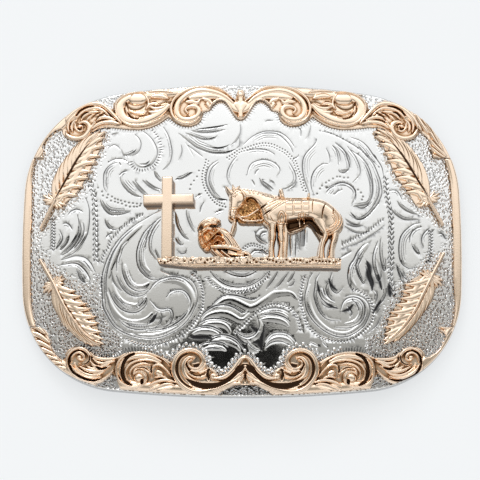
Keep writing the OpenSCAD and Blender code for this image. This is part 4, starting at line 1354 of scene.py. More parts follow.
HORSE_OUTLINE = """230.5,191 233.5,188.6 238,187.4 244,187.3 250,188 257,189.3 264,191 271,192.8 278,194.6 284,196 291,196.6 300,196.6 309,196.2
 316,196.8 323,198.8 329,201.8 334,205.8 338.5,210.3 342,215 344,221 343,227.5 339.5,232 334,235 328,237 323.5,236 320,230 316.5,224.6
 313,221 309,219.6 303,220.4 296,221.2 289,222.6 284,225.6 280,226.6 272,227 266,225 262,221 260.2,216.5 259.4,212 258,207.5 255.5,203.3 252,200.5
 248.5,199.4 246,201.5 243.5,205.5 240.8,209.5 239,214 237.4,218.4 234.5,220.6 230.5,220 228,217 228,212.5 228.8,206 229,199.5 229,194.5"""
# the v row lays a low flat web under the belly, between the legs, darkened fully: painted shade
HORSE_FAR = """
t 4/3.4/3.4/3.6 2.3 0.9 336,226 334.5,238 332,248 332,257.5
t 3.2/3/3/3.2 2.2 0.9 286,224 286,238 285,250 284.5,257
v 0.9 1.0 0 286,219 296,218 304,217.6 310,217 316,221 321,229 323,236 317,232 312,226.6 307,224 302,227.4 295,230 288,231
t 2.4/2.8/2.4/1.9/1.8/1.9/2.2 2.0 1.3 287.5,231 294,229.2 300,227.2 304.6,223.8 308.6,221.8 312.6,223.6 317,229.4 321.6,236.4 324,241
t 2/2.6/2.2 1.7 0.6 290,229 286.5,233 284,238
w 1.75 0.6 0 238.5,199 244,198 250.5,199.5 257,203.5 260.5,209 263.5,215 264,222 252,222.6 241,222.2 237.5,218.5 238.5,211 237.5,205
"""
HORSE_BODY = """
t 13.5/14.5/15/15/14.5/13 3.38 2.5 274,211 284,210.5 295,210.5 306,210.5 316,210 324,210
t 10/13/12/10 3.42 2.6 322,206 329,211 333,217 334,224
t 10/12/12/9 3.36 2.6 264,203 269,209 271,215 272,222
t 6/8/9.5/11 3.3 2.5 241,194 250,196 259,199.5 268,204
t 6.5/6.5/5.4/4.4/4.6 3.34 2.5 236,194 236.5,199.5 234.5,206 233,212 232.6,217
t 6.5/6 3.4 2.6 240,197.5 240.5,201
"""
HORSE_NEAR = """
t 5.8/5.4/4/4.3/3.3/3.1/3.4/3.9 3.15 1.1 271.6,218 272.4,226 272.4,233 272.4,238 271.8,244 271.4,250 271.4,254 271.4,258
t 5/4.6/3.5/4/3/2.9/3.3/3.8 3.05 1.0 280.6,221 280.8,228 281,234 281.2,239 281.4,245 281.2,250 281,254 281,258
t 8/6.6/4.4/3.9/3.1/3/3.4/3.9 3.2 1.1 319.5,219 322.5,227 325.3,232.5 325.2,237 323,243 321.8,249 321.5,254 321.5,258
t 6.5/5.6/4.2/3.6/3/3/3.4/3.7 3.0 1.0 336,222 335.5,229 335.3,234 334.5,239 332.6,244 331.8,250 331.6,254 331.6,258
t 4.4/5.2/5 2.95 1.6 270.9,258 270.3,260.5 269.9,262.5
t 4.2/5/4.8 2.85 1.6 280.6,258 280,260.5 279.7,262.5
t 4.3/5/4.8 2.9 1.6 321.2,258 320.8,260.5 320.4,262.5
t 4.1/4.8/4.6 2.8 1.6 331.3,258 330.9,260.5 330.6,262.5
t 2.3/1.7/0.5 3.1 2.2 231.3,192.8 228.6,190 225.6,186.4
t 2.4/2.2/0.5 3.3 2.2 234.3,192 233.6,188.6 232.7,185
t 1.8/1.8/0.7 3.2 2.3 237.6,190.6 238.2,187.8 239.6,186.4
t 1.9/2.2/2.4 3.75 2.6 282.8,197.5 281.8,194 281,191.2
t 1.5/1.5 3.6 2.8 308.4,197.6 308.8,194.8
t 1.6/1.7/1.5 2.9 1.6 234.5,220 235.2,225 234.2,229.5
"""
TACK = """
4.6 0.20 0.6 285.4,198.2 277.6,202 270,207 263,212.8
1.0 0.30 0.6 236.6,211.5 241,215.8 247,215.6 252,212.8 257,209.4 261.5,206
1.3 0.55 0.5 238,215.5 243,219.3 251,220.2 261,219.6
0.9 0.14 0.7 233.2,194 237,191.4 241.4,190
1.0 0.16 0.8 241,189.8 244.2,195 246.3,201
0.9 0.15 0.8 228.9,208.6 233,209.2 238.6,208.2
0.8 0.14 0.6 238.6,208.2 242,205.8 245.6,201.4
0.9 0.16 0.8 235.6,210.6 237.4,212 236,213.8 234.4,212.4 235.6,210.6
2.0 0.28 0.8 285,197.2 293,196.8 301,196.7 309,196.8
1.0 0.30 0.9 279.6,222.6 279,217 281.4,212.6 284.2,216.6 284.2,222.8
1.2 0.28 0.7 278.6,223.4 282,224 285.4,223.4
0.9 0.20 0.7 287,216 287.3,221.4
1.1 0.5 0.7 299.6,215 299.8,226
1.1 0.5 0.7 304.4,214.5 304.2,223
1.0 0.22 0.7 336,206.5 341,212 343,218.5 342,225 337,230.5 329,234.6
0.9 0.22 0.7 335,210 339,215 340.4,220.5 338.6,226 333.6,230.4 327.4,232.8
0.9 0.20 0.7 334,213.6 337,218 337.4,222.4 335,226.6 330.6,229.6 326.6,230.8
0.8 0.18 0.6 333,217.5 334.8,221.4 333.8,225 330.4,227.8
0.7 0.12 0.5 246,187.8 248.6,190.4 250,193.4
0.7 0.12 0.5 250,188.4 252.4,191 253.8,194
0.7 0.12 0.5 254,189.2 256.6,191.6 258,194.6
0.7 0.12 0.5 258,190 260.6,192.4 262.2,195.2
0.7 0.12 0.5 262,191 264.8,193.4 266.4,196
0.7 0.12 0.5 266,192 269,194.4 270.8,196.8
0.7 0.12 0.5 270,193 273,195.2 275,197.4
0.8 0.10 0.5 231,196.8 233.6,194.8 236.4,195.8
"""
PADS = [(285.6, 199.2, 292.6, 204.2), (285.6, 205.4, 292.6, 210.2), (285.6, 211.4, 292.6, 215.6),
        (294.2, 199.2, 301.4, 203.8), (294.2, 205.2, 301.4, 209.6), (294.2, 211, 301.4, 215.4),
        (303, 199, 309, 203.4), (303, 205, 309, 209.2), (303, 210.8, 309, 215)]
HORSE_CUTS = """
2.2 0.34 1.0 267.8,204.2 263.6,206.6 259.8,209.4
2.2 0.34 1.0 271.6,210.2 267,212.8 262.8,215.6
1.0 0.14 0.7 267,204.6 274,201.2 282.4,197.4
1.0 0.14 0.7 270.6,210.6 277,205.8 284.6,200.6
0.9 0.12 0.6 261.6,212.2 270,206.6 283.6,199
2.0 0.25 0.9 326.4,202.6 323.6,208 322.4,213.5 321.8,219.5
1.5 0.20 0.8 332.6,206 333.4,210.5 332.6,215
1.4 0.16 0.7 313.4,199 312.4,206 312.6,213
1.6 0.22 0.9 313,222.6 317.4,226.2 320.6,231.6
2.2 0.50 1.0 276.7,221.5 276.9,232 276.6,243 276.4,251
1.2 0.16 0.7 270,216 272.6,220.6 276.5,222.4
1.2 0.14 0.6 262.6,207 266.6,214 268,221.6
2.2 0.34 1.0 246.6,199.2 250.4,197.9 254.4,199.4 258,203.8
1.0 0.12 0.7 238.6,193 242.4,194.6 243.6,199.6 241.6,204.4
1.2 0.16 1.0 232.4,196.9 234.2,197.7 236,196.9
1.3 0.16 1.0 229.9,214.6 231,215
1.0 0.12 0.9 228.7,217.6 231.6,217 234.6,216
1.0 0.10 0.6 326.5,237 325.6,242 323.8,247
1.0 0.10 0.6 270.2,239.5 272.4,241 274.6,239.8
1.0 0.10 0.6 279.4,240.5 281.4,242 283.4,240.6
1.0 0.12 0.8 268,257.6 271.4,258.6 274.8,257.6
1.0 0.12 0.8 278,257.6 281,258.6 284.4,257.6
1.0 0.12 0.8 318.4,257.6 321.6,258.6 324.8,257.6
1.0 0.12 0.8 328.6,257.6 331.6,258.6 334.8,257.6
1.1 0.12 0.6 284.6,198.4 296,198.2 309,198.2
1.6 0.20 0.8 328.6,240 328,248 326.6,256
"""
KNEELER = """
t 2.8/3/2.6 2.6 0.9 229,252.5 236,254 243,255.6
t 2.6/3/2.6/2 2.6 0.9 242,253 246,252.6 249,254.4 250.6,257.4
w 1.9 0.42 0 198.4,230.6 203,229 213,229.6 221,232 222,240 216,247 206,250.4 200.6,246 197.8,238
p 1.0 3.25 1.3 212.6,227.4 218.6,226.2 224.6,227.8 230,232 234.4,237.4 238.6,243.6 240.6,248 232,248.6 225,247.6 222.4,241.6 220.6,236.4 216.4,232.4
t 3.2/3.4/3.2/2.8 3.3 1.4 211.5,247 221,246.4 231,247.4 239.5,249.8
t 1.8/2/1.8/1.4 2.9 1.2 211.6,249.6 216.4,254 221,258.6 224.6,262
t 1.7/1.9/1.7/1.3 2.8 1.1 216.2,249.8 221,254.4 225.6,258.6 229,261.6
t 1.6/1.8/1.5 2.7 1.1 221.4,250.4 226.6,254.6 232,258.6
t 1.6/2/1.8 2.75 1.1 228.4,250.4 232.4,252.2 236.4,253.4
t 2.4/2.9/2.6 2.75 1.4 203,230.4 206.4,228.2 210.6,228.6
t 1.3/1.4/1.3/1.1 2.8 1.2 199.8,233 198.9,238.4 200.2,243.6 203.6,248
t 2/2.2/1.8 3.25 1.6 201.8,235.4 203.4,232.6 206,231
t 2.4/2.0/1.5/1.3 3.45 1.8 219.4,230.4 214.6,234.4 210,239.4 206.4,243.2
t 1.3/1.2/1.1 3.35 1.7 206.4,243.2 204,239.4 203.2,235.8
t 2.2/2.2/2.6/2.3 3.15 1.5 225,231.6 230.4,234.6 233,229.6 234.6,222.6
t 1.2/1.3/1.2 3.2 1.5 213.6,239.6 218.4,236 223.4,238.4
t 1.0/1.2/1.0 3.1 1.5 213,243.6 217.6,240.6 222.4,242.6
t 3/3.2/2.8 3.5 2.2 204.6,225.4 210,222.6 215.6,222.4
t 1/1.7/2/2/1.2 3.3 2.2 198,228.4 200.8,223.6 206.6,220.2 213.4,219 219.8,221
"""
K_STRAPS = """
0.8 0.16 0.7 203.4,226.8 209.6,224.6 216.6,224.4
0.9 0.16 0.7 213.6,230 219,228 225.6,229.4
0.9 0.16 0.7 219.4,236.6 225,240.4 228.6,245.6
0.8 0.14 0.7 227,234.6 231.6,240 235,246
0.8 0.14 0.6 206.6,246.6 204.6,249 206.8,251.4
0.8 0.16 0.7 243.6,252.4 243,255 244.4,258
"""
K_CUTS = """
1.5 0.26 0.7 205.6,243.6 211.6,239.2 216,234.6 221.6,232
1.5 0.26 1.0 211.4,248.6 220,249.2 229,249.8 238,251.6
1.4 0.26 0.6 208.4,231.6 210.6,235 209,238.6
1.1 0.18 0.9 213.6,250.6 219,255.6 224,260.6
1.1 0.18 0.9 218.6,250.8 223.6,255.4 228,259.8
1.0 0.16 0.9 224.4,250.8 229.4,254.6 234,257.6
1.2 0.22 1.0 222.6,234.4 227,238 230.6,243.4 232,247
1.0 0.16 0.8 214,239.6 218.6,243.4 224,246
1.0 0.18 0.9 228.6,231.6 231.4,235.6 234.6,234
1.1 0.20 0.9 200.4,226.8 205,223.6 211,221.4 218,221.6
1.0 0.16 0.9 218.6,223.6 216.6,226 212.4,226.6
1.0 0.14 0.7 216.6,231.6 213.6,235 209.8,238.8
"""


def fresh(x0, y0, x1, y1, step):
    c = on_face([[x0, y1], [x1, y0]], 2.6)
    f = Field(c[0, 0], c[0, 1], c[1, 0], c[1, 1], step)
    f.D[:] = 5
    f.H[:] = 0
    return f


def horse_field(step):
    f = fresh(222, 180, 349, 268, step)
    sculpt(f, HORSE_FAR)
    low = f.H.copy()
    body = fresh(222, 180, 349, 268, step)
    body.H[:] = 2.45
    sculpt(body, HORSE_BODY)
    shape = f.polygon(smooth_loop(on_face(points(HORSE_OUTLINE), 2.6)))
    soft = box_blur(body.H, max(1, int(0.22 / step)))
    px = CAM_X + f.X * 4.12
    r = 0.85 + 0.85 * np.clip((px - 256) / 10, 0, 1)
    u = np.clip(1 + shape / r, 0, 1)
    soft = 1.0 + (soft - 1.0) * np.sqrt(np.clip(1 - u * u, 0, 1))
    f.H = np.where(shape < 0, np.maximum(low, soft), low)
    f.dark = np.where(shape < -0.05, 0, f.dark)
    f.D = np.minimum(f.D, shape)
    sculpt(f, HORSE_NEAR)
    blurred = box_blur(f.H, 1)
    f.H = np.where(f.D < -0.12, blurred, f.H)
    corners = [on_face([[x0, y1], [x1, y0]], 3.1) for x0, y0, x1, y1 in PADS]
    for (xa, ya), (xb, yb) in corners:
        d = np.maximum(np.maximum(xa - f.X, f.X - xb), np.maximum(ya - f.Y, f.Y - yb))
        u = np.clip(1 + d / 0.3, 0, 1)
        f.H += np.where(d < 0, 0.16 * np.sqrt(np.clip(1 - u * u, 0, 1)), 0)
        f.dark = np.maximum(f.dark, 0.4 * np.clip(1 - np.abs(d - 0.08) / 0.16, 0, 1))
    straps(f, TACK)
    grooves(f, HORSE_CUTS)
    return finish_figure(f)


def kneeler_field(step):
    f = fresh(194, 214, 255, 267, step)
    sculpt(f, KNEELER)
    f.H = np.where(f.D < -0.1, box_blur(f.H, 1), f.H)
    straps(f, K_STRAPS)
    grooves(f, K_CUTS)
    return finish_figure(f, gain=0.75)


def finish_figure(f, floor=-7.0, gain=1.5):
    f.D = np.maximum(f.D, floor - f.Y)
    f.H = np.where(f.D < 0.3, np.maximum(f.H, 0.5), 0.8)
    # hollows of the figure darkened: tarnish and painted shade
    f.dark = np.clip(np.maximum(f.dark, hollow_tarnish_and_shade(f, 0.45, gain)), 0, 1)
    return f


# ---------------------------------------------------------------- materials
def new_material(name):
    m = bpy.data.materials.new(name)
    m.use_nodes = True
    t = m.node_tree
    return m, t, t.nodes["Principled BSDF"]


def mix_colour(t, fac, a, b):
    n = t.nodes.new("ShaderNodeMix")
    n.data_type = "RGBA"
    n.inputs["A"].default_value = (*a, 1)
    n.inputs["B"].default_value = (*b, 1)
    t.links.new(fac, n.inputs["Factor"])
    return n


def ramp(t, src, lo, hi, a=0.0, b=1.0):
    n = t.nodes.new("ShaderNodeMapRange")
    n.interpolation_type = "SMOOTHSTEP"
    n.inputs["From Min"].default_value = lo
    n.inputs["From Max"].default_value = hi
    n.inputs["To Min"].default_value = a
    n.inputs["To Max"].default_value = b
    t.links.new(src, n.inputs["Value"])
    return n.outputs["Result"]


def noise(t, scale, detail=3.0, coords=None, stretch=None):
    if coords is None:
        c = t.nodes.new("ShaderNodeTexCoord").outputs["Object"]
    else:
        c = coords
    if stretch:
        mp = t.nodes.new("ShaderNodeMapping")
        mp.inputs["Scale"].default_value = stretch
        t.links.new(c, mp.inputs["Vector"])
        c = mp.outputs["Vector"]
    n = t.nodes.new("ShaderNodeTexNoise")
    n.inputs["Scale"].default_value = scale
    n.inputs["Detail"].default_value = detail
    t.links.new(c, n.inputs["Vector"])
    return n.outputs["Fac"]


def metal(name, bright, worn, dark, rough, bump=0.02, grain=2600.0, dark_to=1.0, brushed=None, pecks=None, mid=None):
    m, t, p = new_material(name)
    # the darkening attribute holds tarnish and painted shade together
    a = t.nodes.new("ShaderNodeAttribute")
    a.attribute_name = "tarnish_and_painted_shade"
    tone = mix_colour(t, noise(t, 95.0, 4.0), bright, worn)
    fac = ramp(t, a.outputs["Fac"], 0.05, dark_to)
    pit = None
    if pecks:
        # small random punch marks, only where the piece's ground is stippled
        mask = t.nodes.new("ShaderNodeAttribute")
        mask.attribute_name = "stipple"
        warp = t.nodes.new("ShaderNodeTexCoord").outputs["Object"]
        wob = t.nodes.new("ShaderNodeTexNoise")
        wob.inputs["Scale"].default_value = 1500.0
        t.links.new(warp, wob.inputs["Vector"])
        off = t.nodes.new("ShaderNodeVectorMath")
        off.operation = "MULTIPLY_ADD"
        off.inputs[1].default_value = (0.0004, 0.0004, 0.0)
        t.links.new(wob.outputs["Color"], off.inputs[0])
        t.links.new(warp, off.inputs[2])
        vor = t.nodes.new("ShaderNodeTexVoronoi")
        vor.voronoi_dimensions = "2D"
        vor.inputs["Scale"].default_value = pecks
        t.links.new(off.outputs["Vector"], vor.inputs["Vector"])
        hole = ramp(t, vor.outputs["Distance"], 0.12, 0.50, 1.0, 0.0)
        pit = t.nodes.new("ShaderNodeMath")
        pit.operation = "MULTIPLY"
        t.links.new(hole, pit.inputs[0])
        t.links.new(mask.outputs["Fac"], pit.inputs[1])
        part = t.nodes.new("ShaderNodeMath")
        part.operation = "MULTIPLY_ADD"
        part.inputs[1].default_value = 0.44
        t.links.new(pit.outputs[0], part.inputs[0])
        t.links.new(fac, part.inputs[2])
        part.use_clamp = True
        fac = part.outputs[0]
    c = t.nodes.new("ShaderNodeMix")
    c.data_type = "RGBA"
    t.links.new(fac, c.inputs["Factor"])
    t.links.new(tone.outputs["Result"], c.inputs["A"])
    c.inputs["B"].default_value = (*dark, 1)
    if mid:
        # light tarnish and painted shade are a warm brown, and only the deepest is dark
        warm = t.nodes.new("ShaderNodeValToRGB")
        warm.color_ramp.elements[0].position = 0.45
        warm.color_ramp.elements[0].color = (*mid, 1)
        warm.color_ramp.elements[1].position = 0.95
        warm.color_ramp.elements[1].color = (*dark, 1)
        t.links.new(fac, warm.inputs["Fac"])
        t.links.new(warm.outputs["Color"], c.inputs["B"])
        t.links.new(ramp(t, fac, 0.0, 0.58), c.inputs["Factor"])
    t.links.new(c.outputs["Result"], p.inputs["Base Color"])
    p.inputs["Metallic"].default_value = 1.0
    r = t.nodes.new("ShaderNodeMath")
    r.operation = "ADD"
    t.links.new(ramp(t, noise(t, 420.0, 3.0), 0.3, 0.7, rough * 0.8, rough * 1.25), r.inputs[0])
    t.links.new(ramp(t, a.outputs["Fac"], 0.1, 1.0, 0.0, 0.22), r.inputs[1])
    t.links.new(r.outputs[0], p.inputs["Roughness"])
    b = t.nodes.new("ShaderNodeBump")
    b.inputs["Strength"].default_value = bump
    b.inputs["Distance"].default_value = 0.0002
    t.links.new(noise(t, grain, 2.0, stretch=brushed), b.inputs["Height"])
    if pit:
        deep = t.nodes.new("ShaderNodeBump")
        deep.invert = True
        deep.inputs["Strength"].default_value = 1.0
        deep.inputs["Distance"].default_value = 0.0002
        t.links.new(pit.outputs[0], deep.inputs["Height"])
        t.links.new(deep.outputs["Normal"], b.inputs["Normal"])
    t.links.new(b.outputs["Normal"], p.inputs["Normal"])
    return m


silver = metal("engraved_silver", (0.875, 0.88, 0.885), (0.83, 0.835, 0.84), (0.045, 0.045, 0.048), 0.07, 0.02, pecks=1400.0)
gold = metal("rose_gold", (0.99, 0.805, 0.64), (0.97, 0.77, 0.60), (0.055, 0.03, 0.018), 0.13, 0.06, mid=(0.52, 0.31, 0.165))
gold_warm = metal("rose_gold_relief", (0.99, 0.805, 0.64), (0.97, 0.77, 0.60), (0.07, 0.036, 0.018), 0.14, 0.06, mid=(0.66, 0.35, 0.13))
back_silver = metal("satin_silver", (0.80, 0.80, 0.79), (0.74, 0.74, 0.73), (0.30, 0.30, 0.30), 0.30, 0.35, 900.0,
                    brushed=(1.0, 14.0, 14.0))


def place(ob, node, slot, mat):
    ob.data.materials.append(mat)
    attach(ob, "root")
    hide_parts(node)
    return ob


top_f = border_field(1, 0.11)
bottom_f = border_field(-1, 0.11)
# hollows of both borders darkened: tarnish and painted shade
for f in (top_f, bottom_f):
    f.dark = np.maximum(f.dark, hollow_tarnish_and_shade(f, 0.55, 2.0))
# painted light: the top border's darkening is weakened, so it looks lighter than the bottom one
top_f.dark = top_f.dark * 0.84
place(build("scroll_border_top", top_f, 0.05, tol=0.006, budget=78000), "border_top", "rose_gold", gold)
place(build("scroll_border_bottom", bottom_f, 0.05, tol=0.006, budget=78000), "border_bottom", "rose_gold", gold)

feather_fields = {}
for key in FEATHERS:
    ff = feather_field(key, 0.09)
    feather_fields[key] = ff
    place(build("feather_relief_" + key, ff, 0.05, tol=0.004, foot_tarnish_and_shade=0.5), "feather_" + key, "rose_gold", gold)

# side bars: a rolled band with a fine step along its inner edge
for s, key in ((-1, "left"), (1, "right")):
    x = sorted((s * 48.6, s * 54.2))
    f = Field(x[0], -21.4, x[1], 21.4, 0.14)
    rim = outline(f.X, f.Y)
    ends = np.abs(f.Y) - 20.95
    wide = np.interp(-s * f.Y, [-21.2, -17, -13, 9, 13, 16, 18.7, 21.2], [1.75, 2.0, 2.2, 2.2, 1.9, 1.5, 1.12, 0.78])
    f.D = np.maximum(np.maximum(rim + 0.12, -(rim + wide)), ends)
    across = np.clip((-rim - 0.12) / (wide - 0.12), 0, 1)
    f.H = 0.62 + 0.62 * np.sqrt(np.clip(1 - (2 * across - 0.85) ** 2 * 0.75, 0, 1))
    f.H -= 0.10 * np.exp(-((across - 0.80) / 0.06) ** 2)
    soften(f, 0.22)
    # hollows of the band darkened: tarnish and painted shade
    f.dark = hollow_tarnish_and_shade(f, 0.3, 2.0)
    place(build("side_band_" + key, f, 0.05, tol=0.003), "side_bar_" + key, "rose_gold", gold)

# cross: flat bright face with bevelled edges
c = on_face([[142.5, 258.5], [193.7, 176]], 3.3)
f = Field(c[0, 0] - 0.5, -6.2, c[1, 0] + 0.5, c[1, 1] + 0.5, 0.1)
bx0, bx1 = on_face([[161.6, 200], [172.4, 200]], 3.3)[:, 0]
ay1, ay0 = on_face([[150, 194.4], [150, 203.6]], 3.3)[:, 1]
beam = np.maximum(np.maximum(bx0 - f.X, f.X - bx1), np.maximum(-5.6 - f.Y, f.Y - c[1, 1]))
arms = np.maximum(np.maximum(c[0, 0] - f.X, f.X - c[1, 0]), np.maximum(ay0 - f.Y, f.Y - ay1))
f.D = np.minimum(beam, arms)
u = np.clip(1 + f.D / 0.3, 0, 1)
f.H = 3.35 - 0.28 * u * u
place(build("cross_bevelled", f, 0.05, tol=0.004, gap=0.12, brow_shade=0.6, foot_tarnish_and_shade=0.85), "cross", "rose_gold", gold_warm)

# kneeling figure and horse
kneeler_f = kneeler_field(0.06)
place(build("kneeling_figure_relief", kneeler_f, 0.05, tol=0.006, budget=45000, brow_shade=0.5, foot_tarnish_and_shade=0.9), "kneeling_figure", "rose_gold", gold_warm)
horse_f = horse_field(0.07)
place(build("horse_relief", horse_f, 0.05, tol=0.006, budget=70000, brow_shade=0.5, foot_tarnish_and_shade=0.9), "horse", "rose_gold", gold_warm)

# ground bar: a strip of pebbles behind a smooth, slightly falling front
f = Field(-21.2, -8.6, 24.6, -4.6, 0.08)
x0, x1 = -20.5, 23.9
lump = value_noise(f.X, f.Y, 0.62, 5)
fine = value_noise(f.X, f.Y, 0.30, 6)
tuft = value_noise(f.X, f.Y * 0.3, 0.9, 8)
upper = -5.72 + 0.75 * np.clip(tuft - 0.45, 0, 1)
# neither edge is quite straight, as on a cast piece
lower = -7.93 + np.clip((x0 + 9 - f.X) / 9, 0, 1) * 1.1 + 0.02 * np.sin(1.3 * f.X)
f.D = np.maximum(np.maximum(f.Y - upper, lower - f.Y), np.maximum(x0 + 0.02 + 0.5 * np.clip(-5.9 - f.Y, 0, 2) + 0.02 * np.sin(2.3 * f.Y) - f.X, f.X - x1))
front = on_face([[240, 264.2]], 2.9)[0, 1] + 0.12 * (lump - 0.5)
back = np.clip((f.Y - front) / 1.2, 0, 1)
ground = np.clip((f.Y - front) / 0.22, 0, 1)
shelf = 2.80 - 0.055 * np.clip((front - f.Y) / 0.9, 0, 1) - 0.3 * np.clip(1 - (f.Y - lower) / 0.22, 0, 1) ** 2
f.H = shelf + ground * (0.05 + 0.40 * back + 0.42 * lump ** 1.3 + 0.18 * (fine - 0.5))
# hollows among the pebbles darkened (tarnish and painted shade), and a dark line painted along the crease at the front:
# painted shade
f.dark = np.clip(hollow_tarnish_and_shade(f, 0.4, 2.4), 0, 1) * ground
f.dark = np.maximum(f.dark, 0.55 * np.clip(1 - np.abs(f.Y - front) / 0.1, 0, 1))
f.groove(np.stack([np.linspace(x0 + 1, x1 - 0.5, 60), np.full(60, front.mean() - 0.70)], -1), 0.3, 0.16, 0.75, lean=-0.5)
rng = np.random.default_rng(31)
for px in np.arange(158, 341, 3.3):
    py = 260.8 + rng.uniform(-1.5, 2.0)
    if px > 246 or rng.random() < 0.45:
        f.pit(on_face([[px + rng.uniform(-0.6, 0.6), py]], 3.1), rng.uniform(1.1, 1.7) * PX, 0.35, 1.0)
place(build("ground_bar_pebbled", f, 0.05, tol=0.006, budget=38000, brow_shade=0.7, foot_tarnish_and_shade=0.9), "ground_bar", "rose_gold", gold_warm)

# the plate
face, dome = face_field(0.07)
covered = np.zeros_like(face.H, bool)


def edge_distance(f, other):
    """Another piece's edge distance, on this field's grid."""
    p = np.stack([f.X.ravel(), f.Y.ravel()], -1)
    d = other.sample(other.D, p).reshape(f.X.shape)
    out = (f.X < other.x[0]) | (f.X > other.x[-1]) | (f.Y < other.y[0]) | (f.Y > other.y[-1])
    return np.where(out, 9.0, d)


near_border = np.minimum(edge_distance(face, top_f), edge_distance(face, bottom_f))
near_feather = np.min([edge_distance(face, v) for v in feather_fields.values()], axis=0)

# fringe of short cuts round the borders, on the panel side
for src in (top_f, bottom_f):
    for loop in contours(src):
        if len(loop) < 60:
            continue
        l = resample(loop, 2.7 * PX)
        t = np.roll(l, -1, 0) - np.roll(l, 1, 0)
        t /= np.maximum(np.hypot(t[:, 0], t[:, 1]), 1e-9)[:, None]
        out = np.stack([t[:, 1], -t[:, 0]], -1)
        for c0, o, tt in zip(l, out, t):
            if outline(c0[0], c0[1]) > -3.6 or abs(c0[0]) > 39 or (abs(c0[1]) < 25):
                continue
            low = c0[1] < -22
            face.groove(c0 + (o * np.linspace(0.0, 1.3 if low else 1.05, 4)[:, None]) + tt * 0.1, (1.5 if low else 1.3) * PX,
                        0.2 if low else 0.12, 0.95 if low else 0.8, both="in")

# small punched pearls round the lower border
for loop in contours(bottom_f):
    if len(loop) < 60:
        continue
    l = resample(loop, 2.9 * PX)
    t = np.roll(l, -1, 0) - np.roll(l, 1, 0)
    t /= np.maximum(np.hypot(t[:, 0], t[:, 1]), 1e-9)[:, None]
    out = np.stack([t[:, 1], -t[:, 0]], -1)
    for k, (c0, o) in enumerate(zip(l, out)):
        if outline(c0[0], c0[1]) > -3.6 or abs(c0[0]) > 24:
            continue
        q = c0 + o * (0.55 if k % 2 else 1.15)
        r = 0.33
        w = face.window(q - r, q + r)
        if w is not None:
            d = np.hypot(face.x[w[1]][None, :] - q[0], face.y[w[0]][:, None] - q[1]) / r
            dome[w] = np.maximum(dome[w], 0.17 * np.clip(1 - d * d, 0, 1))

# stippled ground in the corners, round the feathers and in the border's openings
STIPPLE = ["31,150 40,130 62,112 112,112 110,134 107,150 100,163 94,175 92,186 86,192 78,203 70,208 63,214 57,219 50,222 49,232 40,234 38,250 49,252 50,260 54,266 62,270 70,275 80,281 90,284 98,272 102,274 101,300 104,318 112,330 122,336 122,350 110,358 100,372 60,372 30,330 31,250",
           "452,150 443,130 421,112 371,112 374,134 384,160 390,175 396,186 404,198 412,208 420,214 430,218 436,226 447,232 447,244 441,252 428,254 424,262 414,268 404,276 396,286 392,300 384,312 380,330 366,340 366,350 374,358 384,372 424,372 452,330 451,250"]
ground_d = np.full_like(face.H, 9.0)
for t in STIPPLE:
    ground_d = np.minimum(ground_d, face.polygon(on_face(points(t))))
ground_d = np.minimum(ground_d, -(outline(face.X, face.Y) + 3.2))
stipple = np.clip(0.5 - ground_d / 0.5, 0, 1) * np.clip((-0.35 - face.D) / 0.3, 0, 1)
# painted shade: the stipple, and with it the darkening of its pits, grows stronger towards the bottom
stipple = box_blur(stipple, 1) * np.clip(0.78 - 0.013 * face.Y, 0.6, 1.12)
# painted light and shade: the darkening is weaker in the upper part, which looks lighter as if lit from above, and a
# dark band along the plate's lower edge is painted shade
face.dark = face.dark * (1 - 0.2 * np.clip((face.Y - 5) / 10, 0, 1))
face.dark = np.maximum(face.dark, 0.5 * np.clip((-face.Y - 31) / 5, 0, 1) * np.clip(1 + face.D / 0.4, 0, 1))
# a dark band painted all round the plate's edge: painted shade on the rolled edge
face.dark = np.maximum(face.dark, 0.6 * np.clip(1 + face.D / 0.3, 0, 1))
# thin edge of the plate
u = np.clip(1 + face.D / 0.45, 0, 1)
face.H = dome - 0.45 * (1 - np.sqrt(np.clip(1 - u * u, 0, 1)))
hidden = np.minimum(near_border, near_feather)
for other in (kneeler_f, horse_f):
    hidden = np.minimum(hidden, edge_distance(face, other))
face.H = np.where(hidden < 0.1, np.minimum(face.H, 0.0), face.H)
quiet = (hidden < -0.5)
face.cut = np.where(quiet, 0, face.cut)
# the plate's sides darkened by the foot value: painted shade under the edge
plate = build("plate_engraved", face, -PLATE_T, tol=0.0015, gap=0.3, bottom=2.2, budget=95000, stipple=stipple, hidden=hidden, foot_tarnish_and_shade=0.6)
place(plate, "plate", "engraved_silver", silver)

# carried over: the hook and the belt loop keep their CAD form
for n in ("hook", "belt_loop"):
    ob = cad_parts[n]
    ob.data.materials.clear()
    ob.data.materials.append(back_silver)

# ---------------------------------------------------------------- stage
def plane(name, half, z):
    co = np.array([[-half, -half, z], [half, -half, z], [half, half, z], [-half, half, z]])
    return mesh_object(name, co, np.array([[0, 1, 2, 3]]))


floor = plane("floor", 3.0, -0.0002)
m, t, p = new_material("pale_floor")
p.inputs["Roughness"].default_value = 0.55
p.inputs["Specular IOR Level"].default_value = 0.25
tone = mix_colour(t, noise(t, 3.0, 2.0), (0.285, 0.295, 0.305), (0.295, 0.305, 0.315))
t.links.new(tone.outputs["Result"], p.inputs["Base Color"])
# a light table: part of the floor's brightness comes from within, so shadows stay faint
p.inputs["Emission Color"].default_value = (0.985, 1.005, 1.02, 1)
p.inputs["Emission Strength"].default_value = 0.60
floor.data.materials.append(m)

# world: one broad soft light above and behind, grey towards the camera, a dark patch straight above
world = bpy.data.worlds.new("studio")
scene.world = world
world.use_nodes = True
t = world.node_tree
bg = t.nodes["Background"]
co = t.nodes.new("ShaderNodeTexCoord").outputs["Generated"]
sep = t.nodes.new("ShaderNodeSeparateXYZ")
t.links.new(co, sep.inputs[0])


def wmath(op, a, b=None, c=None):
    n = t.nodes.new("ShaderNodeMath")
    n.operation = op
    for k, v in enumerate((a, b, c)):
        if v is None:
            continue
        if isinstance(v, (int, float)):
            n.inputs[k].default_value = v
        else:
            t.links.new(v, n.inputs[k])
    return n.outputs[0]


def wstep(v, lo, hi, a, b):
    return ramp(t, v, lo, hi, a, b)


